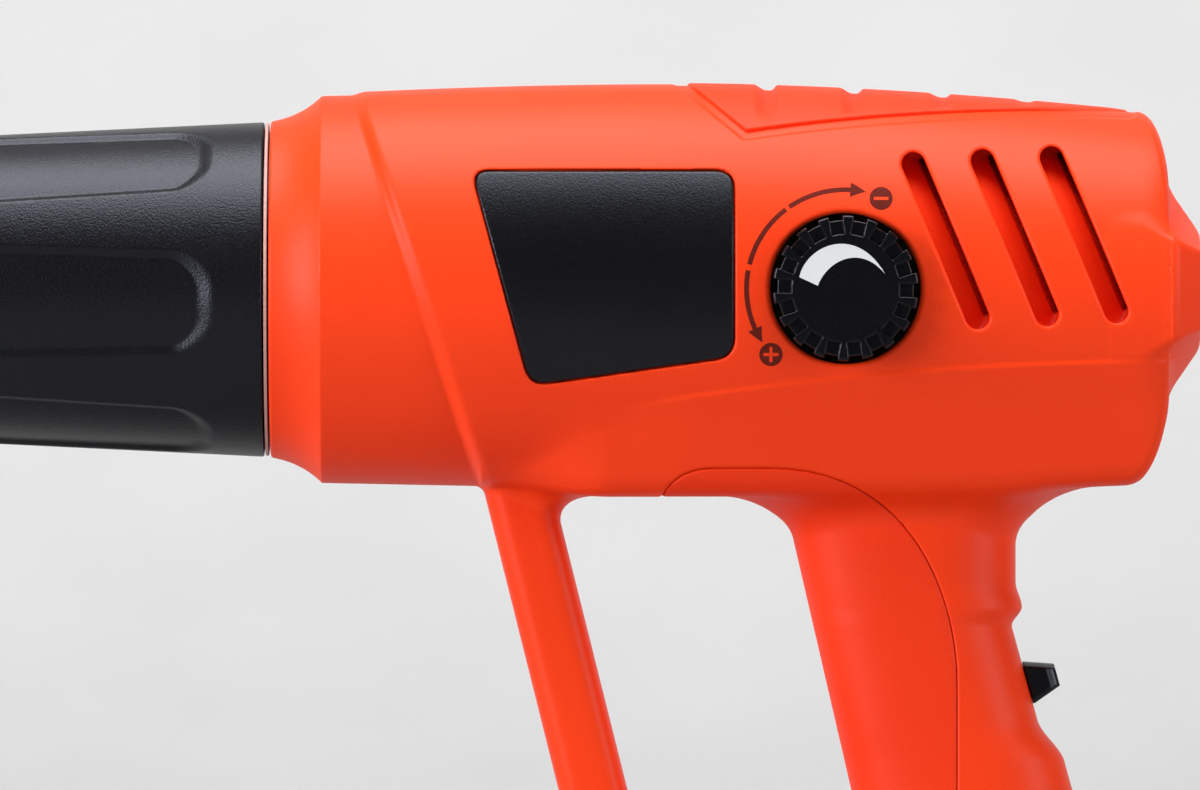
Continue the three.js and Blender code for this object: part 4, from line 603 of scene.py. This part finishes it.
vent = {
    "x": 134.3, "z": 9.5, "pitch": 13.75, "rise": 0.6, "count": 3, "length": 37.7, "width": 4.8,
    "lean": math.radians(22.5), "floor": 5.4, "slope": 2.5, "slit": 1.0, "bend": 8.3, "rake": 1.2,
    "wall": 9.9, "lip": 0.6, "inner": 10.0, "slant": 0.75,
}
thickWall = {  # where the wall is thicker, round the vents and under the pad
    "ventFront": 112.0, "ventFrontRun": 8.0, "ventRear": 177.0, "ventReach": 34.0, "padFront": 72.0,
    "padFrontRun": 8.0, "padLow": 24.0, "run": 6.0,
}


def wallDepth(x, z):
    beside = ramp((x - thickWall["ventFront"]) / thickWall["ventFrontRun"])
    beside = beside * ramp((thickWall["ventRear"] - x) / thickWall["run"])
    beside = beside * ramp((thickWall["ventReach"] - np.abs(z - vent["z"])) / thickWall["run"])
    above = ramp((x - thickWall["padFront"]) / thickWall["padFrontRun"]) * ramp(
        (z - thickWall["padLow"]) / thickWall["run"])
    return np.maximum(mix(body["wall"], vent["wall"], beside), mix(body["wall"], pad["wall"], above))


def ventField(x, z, depth):
    best = None
    reach = (vent["length"] - vent["width"]) / 2
    closed = np.clip(vent["slope"] * (depth - vent["floor"]), 0.0, vent["width"] - vent["slit"]) / 2
    behind = closed + vent["rake"] * np.maximum(depth - vent["bend"], 0.0)  # no straight view through
    for i in range(vent["count"]):
        dx, dz = x - vent["x"] - i * vent["pitch"], z - vent["z"] - i * vent["rise"]
        across = dx * math.cos(vent["lean"]) + dz * math.sin(vent["lean"]) - behind
        along = np.abs(dz * math.cos(vent["lean"]) - dx * math.sin(vent["lean"]))
        d = np.hypot(np.maximum(along - reach, 0.0), across) - vent["width"] / 2 + closed
        best = d if best is None else np.minimum(best, d)
    return best * vent["slant"]


dial = {
    "x": 114.4, "hole": 14.9, "holeInner": 18.0, "holeEdge": 1.2, "radius": 14.4, "face": 45.1,
    "height": 7.4, "edge": 0.5, "notches": 18, "notchWidth": 2.6, "notchInner": 10.7, "notchDepth": 1.2,
    "notchEdge": 0.2, "scallop": 13.5, "scallopEdge": 0.25, "turn": 88.0, "step": (0.25, 0.8),
    "box": ((99.0, -46.2, -15.6), (130.0, -36.6, 15.6)),
}
screws = {  # x and z
    "nose_top": (18.0, 32.4), "nose_bottom": (18.0, -32.4), "tail_top": (168.0, 28.6),
    "tail_bottom": (166.0, -25.0), "strut": (52.9, -54.0), "handle_upper": (140.0, -53.0),
    "handle_lower": (151.0, -110.0), "toe": (79.0, -150.0),
}
screwPost = {"outer": 5.8, "bore": 4.2, "seat": 5.0, "edge": 0.5}
slide = {
    "drop": 78.6, "angle": math.atan(grip["rearLean"]), "slotLength": 8.0, "slotHalf": 2.6,
    "slotDeep": 9.0, "edge": 0.3,
}
throat = {  # bore behind the mouth, with the groove that holds the nose
    "x": [0.0, 3.0, 3.01, 6.0, 12.8], "radius": [31.4, 31.4, 33.0, 33.0, 36.1], "end": 48.0,
    "roomFrom": 44.0,
}
rearSlots = {"heights": (-6.0, 0.0, 6.0), "half": 18.3, "radius": 1.7, "from": 170.0, "edge": 0.4}
inlet = {"drop": 148.4, "radius": 5.3, "from": 150.0, "edge": 0.5}
noCut = -9.0  # a distance well inside, which leaves the solid as it is


def slideFrame(x, z):
    originX = float(gripEdges(np.array(slide["drop"]))[1])
    dx, dz = x - originX, z + slide["drop"]
    c, s = math.cos(slide["angle"]), math.sin(slide["angle"])
    return dx * c + dz * s, dz * c - dx * s


plateSpot, padSpot, inlaySpot = [outlineTable(o) for o in (plateOutline(), padOutline(), inlayOutline())]


def housingField(x, w, z, left):
    barrel = barrelField(x, w, z)
    d = outerField(x, w, z, barrel)
    mouth = np.hypot(w, z) - np.interp(np.asarray(x, float), throat["x"], throat["radius"])
    room = np.maximum(barrelField(x, w, z, wallDepth(x, z)), throat["roomFrom"] - x)
    hollow = np.minimum(np.maximum(mouth, x - throat["end"]), room)
    length = np.maximum(-grip["hollowEnd"] - z, z + grip["hollowTop"])
    hollow = np.minimum(hollow, np.maximum(gripField(x, w, z) + grip["wall"], length))
    for sx, sz in screws.values():
        hollow = np.maximum(hollow, screwPost["outer"] - np.hypot(x - sx, z - sz))
    d = np.maximum(d, -hollow)
    d = cutOut(d, np.maximum(ventField(x, z, -barrel), vent["inner"] - w), vent["lip"])
    bed = padBed(padPlace(x, w, z, barrel))
    d = np.maximum(d, np.where((bed > 0) & (z > pad["lowest"]), barrel + bed, noCut))
    d = cutOut(d, np.maximum(inlaySpot(x, z), -handleSkin(x, w, z) - inlay["seat"]), inlay["edge"])
    for height in rearSlots["heights"]:
        slot = np.hypot(np.maximum(w - rearSlots["half"], 0.0), z - height) - rearSlots["radius"]
        d = cutOut(d, np.maximum(slot, rearSlots["from"] - x), rearSlots["edge"])
    gland = np.hypot(w, z + inlet["drop"]) - inlet["radius"]
    d = cutOut(d, np.maximum(gland, inlet["from"] - x), inlet["edge"])
    out, along = slideFrame(x, z)
    slot = np.maximum(np.abs(along) - slide["slotLength"], w - slide["slotHalf"])
    d = cutOut(d, np.maximum(slot, -slide["slotDeep"] - out), slide["edge"])
    if left:
        hole = np.hypot(x - dial["x"], z) - dial["hole"]
        d = cutOut(d, np.maximum(hole, dial["holeInner"] - w), dial["holeEdge"])
        recess = np.maximum(-barrel - plate["recess"], plate["inner"] - w)
        return cutOut(d, np.maximum(plateSpot(x, z), recess), plate["edge"])
    for sx, sz in screws.values():
        bore = np.hypot(x - sx, z - sz) - screwPost["bore"]
        d = cutOut(d, np.maximum(bore, screwPost["seat"] - w), screwPost["edge"])
    return d


def mirrored(points, quads, normals):  # right-hand half turned into the left one
    flip = np.array([1.0, -1.0, 1.0])
    return points * flip, quads[:, ::-1], normals * flip


for name, left in (("left_housing", True), ("right_housing", False)):
    skin = meshField(lambda x, w, z: housingField(x, w, z, left), *body["box"], stepOf(body), seam=True)
    points, quads, normals = mirrored(*skin) if left else skin
    makePiece(name + "_skin", points, quads, orangeAbs, "tool", [name], "housing_orange", normals)
    print(name, len(quads), "faces")


def plateField(x, y, z):
    depth = -barrelField(x, -y, z)
    layer = np.maximum(plate["sunk"] - depth, depth - plate["thick"])
    return roundMax(plateSpot(x, z) + plate["gap"], layer, plate["edge"])


def padField(x, y, z):
    depth = -barrelField(x, np.abs(y), z)
    spot = padPlace(x, np.abs(y), z, -depth)
    top = barrelSizes(x)[0]
    sunk = 0.0
    for middle, deep in pad["grooves"]:  # gentle in front, steep behind, fading down the flank
        fall = ramp((x - middle + pad["grooveFront"]) / pad["grooveFall"])
        sunk = sunk + deep * fall * ramp((middle + pad["grooveRear"] - x) / pad["grooveRise"])
    faded = 1.0 - ramp((top - z - pad["grooveFlat"]) / pad["grooveRun"])
    sunk = sunk * faded * ramp(-spot / pad["grooveEnd"])
    upper = roundMax(spot, sunk - pad["rise"] - depth, pad["edge"])
    return np.maximum(upper, depth - padBed(spot) - pad["sink"])


def inlayField(x, y, z):
    skin = handleSkin(x, np.abs(y), z)
    layer = np.maximum(skin + inlay["sunk"], -skin - inlay["thick"])
    return roundMax(inlaySpot(x, z) + inlay["gap"], layer, inlay["edge"])


makeSkin("side_plate", plate, plateField, plateBlack, "tool", "plate_black")
makeSkin("top_pad", pad, padField, softOrange, "tool", "grip_orange")
makeSkin("front_grip", inlay, inlayField, softOrange, "tool", "grip_orange")
print("plate, pad and grip made")

nose = {
    "rear": -1.3, "front": -75.0, "radius": 33.45, "frontRadius": 30.1, "edge": 4.0, "rearEdge": 0.4,
    "wall": 2.4, "bore": 17.8, "boreRear": -60.0, "boreEdge": 0.5, "panels": 6, "turn": -5.0,
    "panelRear": -10.8, "panelFront": -66.0, "panelHalf": 10.6, "spread": 0.028, "corner": 8.5,
    "deep": 1.0, "soft": 2.0, "softEnd": 3.8, "softFrom": 9.0, "softRun": 6.0, "spigot": 31.1,
    "spigotFront": -6.0, "spigotRear": 5.7, "collar": 32.6, "collarFront": 3.3, "step": (0.5, 1.4),
    "box": ((-76.5, -34.8, -34.8), (7.0, 34.8, 34.8)),
}


def noseField(x, y, z):
    r = np.hypot(y, z)
    slope = (nose["radius"] - nose["frontRadius"]) / (nose["rear"] - nose["front"] - nose["edge"])
    radius = nose["radius"] + slope * (x - nose["rear"])
    pitch = 2 * math.pi / nose["panels"]
    turn = np.arctan2(z, -y) - math.radians(nose["turn"])
    arc = np.abs((turn + pitch / 2) % pitch - pitch / 2) * radius
    half = nose["panelHalf"] + nose["spread"] * (nose["panelRear"] - x)
    middle = (nose["panelRear"] + nose["panelFront"]) / 2
    reach = (nose["panelRear"] - nose["panelFront"]) / 2
    spot = roundedBox(np.abs(x - middle) - reach, arc - half, nose["corner"])
    nearRear = ramp((x - nose["panelRear"] + nose["softFrom"]) / nose["softRun"])
    soft = mix(nose["soft"], nose["softEnd"], nearRear)
    sunk = nose["deep"] * ramp(-spot / soft)
    d = roundMax(r - radius + sunk, nose["front"] - x, nose["edge"])
    d = roundMax(d, x - nose["rear"], nose["rearEdge"])
    d = np.maximum(d, -np.maximum(r - radius + nose["wall"], nose["front"] + nose["wall"] - x))
    d = cutOut(d, np.maximum(r - nose["bore"], x - nose["boreRear"]), nose["boreEdge"])
    past = x - nose["spigotRear"]
    spigot = np.maximum(r - nose["spigot"], np.maximum(nose["spigotFront"] - x, past))
    flange = np.maximum(r - nose["collar"], np.maximum(nose["collarFront"] - x, past))
    return np.minimum(d, np.maximum(np.minimum(spigot, flange), nose["spigot"] - nose["wall"] - r))


makeSkin("nose_shroud", nose, noseField, noseBlack, "tool", "nose_black")
print("nose made")


def dialField(x, y, z):
    dx, r = x - dial["x"], np.hypot(x - dial["x"], z)
    deep = y + dial["face"]
    knob = roundMax(r - dial["radius"], np.maximum(-deep, deep - dial["height"]), dial["edge"])
    pitch = 2 * math.pi / dial["notches"]
    turn = np.arctan2(z, dx) - math.radians(dial["turn"]) + pitch / 2
    across = np.abs((turn + pitch / 2) % pitch - pitch / 2) * np.maximum(r, 1.0) - dial["notchWidth"] / 2
    pocket = roundMax(across, dial["notchInner"] - r, dial["notchEdge"])
    knob = cutOut(knob, np.maximum(pocket, deep - dial["notchDepth"]), dial["notchEdge"])
    return cutOut(knob, roundMax(across, dial["scallop"] - r, dial["notchEdge"]), dial["scallopEdge"])


makeSkin("temperature_dial", dial, dialField, dialBlack, "dial", "dial_black")

tab = {
    "outline": [(-0.3, 4.51), (-0.3, -4.51), (6.1, -2.25), (6.1, 2.25)], "lean": 0.3531, "half": 5.5,
    "clear": 0.22, "bevel": 0.9, "bevelSlope": 2.6, "endBevel": 2.0, "endSlope": 0.4, "round": 0.4,
    "edge": 0.5,
    "stem": (3.2, 2.3, -6.0, 1.0),  # half length, half width, from, to
    "carriage": (13.0, 5.0, -6.75, -4.85),
    "step": (0.2, 0.8), "box": ((138.0, -6.6, -94.0), (162.0, 6.6, -63.0)),
}


def tabField(x, y, z):
    out, along = slideFrame(x, z)
    w = np.abs(y)
    endX, endZ = tab["outline"][-1]
    under = (endZ + (endX - out) * tab["lean"] - along) / math.hypot(1.0, tab["lean"])  # below the top edge
    side = tab["half"] - tab["bevelSlope"] * np.maximum(tab["bevel"] - under, 0.0)
    side = side - tab["endSlope"] * np.maximum(tab["endBevel"] - endX + out, 0.0)
    cap = polygonDistance(out, along, np.array(tab["outline"]))
    cap = roundMax(cap + tab["round"], w - side + tab["round"], tab["edge"]) - tab["round"]
    d = np.maximum(cap, tab["clear"] - gripField(x, w, z))
    for length, half, low, high in (tab["stem"], tab["carriage"]):
        block = np.maximum(np.maximum(np.abs(along) - length, w - half), np.maximum(low - out, out - high))
        d = np.minimum(d, block)
    return d


makeSkin("switch_slider", tab, tabField, dialBlack, "switch", "dial_black")
print("dial and switch made")


def lathe(profile, turns=128):  # closed ring of (radius, x) points about the barrel
    ring = np.array(profile, float)
    angle = np.linspace(0.0, 2 * math.pi, turns, endpoint=False)
    count = len(ring)
    xs = np.broadcast_to(ring[:, 1], (turns, count))
    points = np.stack([xs, np.outer(np.cos(angle), ring[:, 0]), np.outer(np.sin(angle), ring[:, 0])], 2)
    faces = []
    for i in range(turns):
        here, after = i * count, (i + 1) % turns * count
        for j in range(count):
            k = (j + 1) % count
            faces.append((here + j, here + k, after + k, after + j))
    return points.reshape(-1, 3), faces


def turnedSkin(node, profile, sharpFrom, material, slot):  # edges steeper than sharpFrom degrees stay crisp
    piece = makePiece(node + "_skin", *lathe(profile), material, "tool", [node], slot)
    piece.data.set_sharp_from_angle(angle=math.radians(sharpFrom))


nozzle = {
    "front": -112.0, "rear": -13.0, "outer": 17.5, "inner": 16.7, "flange": 27.0, "flangeRear": -11.8,
    "lip": 0.7, "lipRun": 1.0, "lipBury": 0.02, "lipRear": -108.5, "lipIn": 0.2,
    "lipArc": (-1.2, 1.57, 9),
}
lipRing = [(
    nozzle["outer"] + nozzle["lip"] * math.cos(a) - nozzle["lipBury"],
    nozzle["front"] + nozzle["lipRun"] - nozzle["lipRun"] * math.sin(a),
) for a in np.linspace(*nozzle["lipArc"])]
tubeRing = [
    (nozzle["flange"], nozzle["rear"]), (nozzle["outer"], nozzle["rear"]),
    (nozzle["outer"], nozzle["lipRear"]), *lipRing, (nozzle["inner"], nozzle["front"] + nozzle["lipIn"]),
    (nozzle["inner"], nozzle["flangeRear"]), (nozzle["flange"], nozzle["flangeRear"]),
]
turnedSkin("nozzle_tube", tubeRing[::-1], 35, steelDrawn, "nozzle_steel")
sealRing = [  # radius and x
    (31.5, -1.0), (33.05, -1.0), (33.25, -0.9), (33.25, -0.45), (33.05, -0.36), (31.5, -0.36),
]
turnedSkin("nose_seal", sealRing, 40, sealPale, "seal_pale")


def decal(name, strips, material, lift, lanes=8):  # ink laid on the flank, strips of (x, z) point pairs
    points, faces = [], []
    for strip in strips:
        first = len(points)
        for (ax, az), (bx, bz) in strip:
            for share in np.linspace(0.0, 1.0, lanes + 1):
                x, z = mix(ax, bx, share), mix(az, bz, share)
                points.append((x, -float(flankAt(np.array(x), np.array(z))) - lift, z))
        for row in range(len(strip) - 1):
            corner = first + row * (lanes + 1) + np.arange(lanes)
            faces += np.stack([corner, corner + 1, corner + lanes + 2, corner + lanes + 1], 1).tolist()
    makePiece(name, points, faces, material, "tool")


def aroundDial(radius, angle):
    return dial["x"] + radius * math.cos(angle), radius * math.sin(angle)


def arcStrip(start, end, count=24):  # degrees from straight back
    edges = (marks["radius"] - marks["line"] / 2, marks["radius"] + marks["line"] / 2)
    return [[aroundDial(r, a) for r in edges] for a in np.radians(np.linspace(start, end, count))]


def headStrip(at, way, count=6):  # arrow head along the arc, tip last
    turn = way * marks["headLength"] / marks["radius"]
    strip = []
    for t in np.linspace(0.0, 1.0, count):
        half = marks["headWidth"] / 2 * (1 - t)
        angle = math.radians(at) + turn * t
        strip.append([aroundDial(r, angle) for r in (marks["radius"] - half, marks["radius"] + half)])
    return strip


def discStrip(x, z, count=28):
    radius, tip = marks["disc"], 0.02
    angles = np.linspace(tip, math.pi - tip, count)
    return [[(x - radius * math.cos(a), z + way * radius * math.sin(a)) for way in (1, -1)] for a in angles]


def barStrip(x, z, length, upright=False):
    half, thick = length / 2, marks["stroke"] / 2
    a, b = (thick, half) if upright else (half, thick)
    return [[(x + t * a, z - b), (x + t * a, z + b)] for t in np.linspace(-1, 1, 5)]


marks = {
    "radius": 19.6, "line": 0.95, "headLength": 3.1, "headWidth": 2.9, "minus": (121.5, 17.86),
    "plus": (99.65, -13.08), "disc": 2.3, "stroke": 0.62, "minusLength": 2.9, "plusLength": 3.0,
    "inkLift": 0.03, "signLift": 0.05,
}
arrows = [
    arcStrip(166, 127), arcStrip(124.5, 87), headStrip(87, -1), arcStrip(169.5, 204), headStrip(204, 1),
]
discs = [discStrip(*marks["minus"]), discStrip(*marks["plus"])]
signs = [
    barStrip(*marks["minus"], marks["minusLength"]), barStrip(*marks["plus"], marks["plusLength"]),
    barStrip(*marks["plus"], marks["plusLength"], True),
]
decal("dial_arrows", arrows + discs, inkMaroon, marks["inkLift"])
decal("dial_signs", signs, orangeAbs, marks["signLift"])

swoosh = {
    "outer": [(105.2, 2.2), (106.6, 8.7), (116.6, 12.8), (122.2, 2.8)],
    "inner": [(108.9, 0.5), (110.4, 5.0), (117.0, 9.2), (122.2, 2.8)], "points": 26, "lift": 0.04,
}
swooshEdges = zip(bezier(swoosh["outer"], swoosh["points"]), bezier(swoosh["inner"], swoosh["points"]))
swooshPoints = [(x, -dial["face"] - swoosh["lift"], z) for pair in swooshEdges for x, z in pair]


def ribbonFaces(rows):  # quads between rows of two points
    return [(2 * i, 2 * i + 1, 2 * i + 3, 2 * i + 2) for i in range(rows - 1)]


makePiece("dial_swoosh", swooshPoints, ribbonFaces(swoosh["points"]), inkWhite, "dial")
print("marks made")

finishes = {
    "nozzle_steel": steelDrawn, "screw_steel": steelZinc, "shaft_steel": steelZinc,
    "motor_steel": steelDark, "coil_wire": steelDark, "copper": copperTurned, "bush_brass": brassSintered,
    "mica": micaPressed, "ceramic": ceramicFired, "ferrite": ferriteSintered, "carbon": carbonPressed,
    "board_green": boardGreen, "gland_rubber": rubberMoulded, "inner_plastic": plasticInner,
    "nose_black": noseBlack, "dial_black": dialBlack, "seal_pale": sealPale, "housing_orange": orangeAbs,
    "grip_orange": softOrange, "plate_black": plateBlack,
}
for row in frame["record"]["subparts"]:
    mesh = nodes[row["node"]].data
    mesh.materials.clear()
    mesh.materials.append(finishes[row["material_slot"]])

# pale grey paper, no shine and no grain to see
stageGrey = surface("paperBackdropMatt", "#d6d6d6", "#dcdcdc", 0.9, 60.0, 0.0, mottleMm=900.0)
sheet = {
    "front": -3.0, "rear": 1.5, "bend": 0.6, "bendPoints": 16, "height": 3.0, "half": 4.0, "darkTo": 0.3,
    "paleFrom": 1.5, "dark": 0.42,
}


def shadeSheetFront(material):  # painted shade: sheet coloured darker towards the front, where the light is strongest
    tree = material.node_tree
    shader = next(n for n in tree.nodes if n.type == "BSDF_PRINCIPLED")
    output = next(n for n in tree.nodes if n.type == "OUTPUT_MATERIAL")
    tint = shader.inputs["Base Color"].links[0].from_socket
    coord = addNode(tree, "ShaderNodeTexCoord")
    parts = addNode(tree, "ShaderNodeSeparateXYZ", [("Vector", coord.outputs["Object"])])
    # painted shade: the sheet's colour falls to the dark share towards the front, where the lamps light it
    # most
    level = addNode(tree, "ShaderNodeMapRange", [("Value", parts.outputs["Y"])], **{
        "From Min": sheet["darkTo"], "From Max": sheet["paleFrom"], "To Min": sheet["dark"],
        "interpolation_type": "SMOOTHSTEP",
    })
    paintedShade = addNode(tree, "ShaderNodeVectorMath", [
        (0, tint), (1, level.outputs[0]),
    ], operation="MULTIPLY")
    tree.links.new(paintedShade.outputs[0], shader.inputs["Base Color"])
    rear = addNode(tree, "ShaderNodeNewGeometry")
    clear = addNode(tree, "ShaderNodeBsdfTransparent")
    oneSided = addNode(tree, "ShaderNodeMixShader", [
        (0, rear.outputs["Backfacing"]), (1, shader.outputs[0]), (2, clear.outputs[0]),
    ])
    tree.links.new(oneSided.outputs[0], output.inputs["Surface"])  # the sheet's back never hides the tool


def backdrop():
    bend, rear = sheet["bend"], sheet["rear"]
    angles = np.linspace(0, math.pi / 2, sheet["bendPoints"])
    curve = [(rear - bend + bend * math.sin(a), bend - bend * math.cos(a)) for a in angles]
    curve = [(sheet["front"], 0.0), *curve, (rear, sheet["height"])]
    points = [(x, y, z) for y, z in curve for x in (-sheet["half"], sheet["half"])]
    mesh = bpy.data.meshes.new("backdrop")
    mesh.from_pydata(points, [], ribbonFaces(len(curve)))
    mesh.shade_smooth()
    mesh.materials.append(stageGrey)
    cloth = bpy.data.objects.new("backdrop", mesh)
    bpy.context.scene.collection.objects.link(cloth)


shadeSheetFront(stageGrey)
backdrop()
view = {"centre": (-0.0542, 0.0, 0.1369), "distance": 4.0, "width": 0.24, "sensor": 36.0, "clipEnd": 30.0}
camera = bpy.data.objects.new("camera", bpy.data.cameras.new("camera"))
camera.data.sensor_width = view["sensor"]
camera.data.lens = view["sensor"] * view["distance"] / view["width"]
camera.location = (view["centre"][0], -view["distance"], view["centre"][2])
camera.rotation_euler = (math.pi / 2, 0.0, 0.0)
camera.data.clip_end = view["clipEnd"]
bpy.context.scene.collection.objects.link(camera)
bpy.context.scene.camera = camera


def softbox(name, place, aim, size, power):
    light = bpy.data.lights.new(name, "AREA")
    light.shape = "RECTANGLE"
    light.size, light.size_y = size
    light.energy = power
    light.color = hexColor(studio["tone"])[:3]
    lamp = bpy.data.objects.new(name, light)
    lamp.location = place
    direction = np.array(aim) - np.array(place)
    yaw = math.atan2(direction[1], direction[0])
    pitch = math.atan2(direction[2], math.hypot(direction[0], direction[1]))
    lamp.rotation_euler = (math.pi / 2 + pitch, 0.0, yaw - math.pi / 2)
    bpy.context.scene.collection.objects.link(lamp)


studio = {"tone": "#ffffff", "ambient": 0.07}
softbox("leftBox", (-1.5, -0.8, 0.42), (-0.05, 0.0, 0.14), (0.9, 0.8), 29.0)
softbox("rightBox", (1.5, -0.8, 0.42), (-0.05, 0.0, 0.14), (0.9, 0.8), 14.0)
softbox("topBox", (-0.1, -0.15, 1.45), (-0.05, 0.0, 0.2), (1.3, 1.1), 34.0)
world = bpy.data.worlds.new("studio")
bpy.context.scene.world = world
world.use_nodes = True
world.node_tree.nodes["Background"].inputs["Color"].default_value = hexColor(studio["tone"])
world.node_tree.nodes["Background"].inputs["Strength"].default_value = studio["ambient"]
bpy.context.scene.view_settings.view_transform = "Standard"
print("stage, camera and light set")
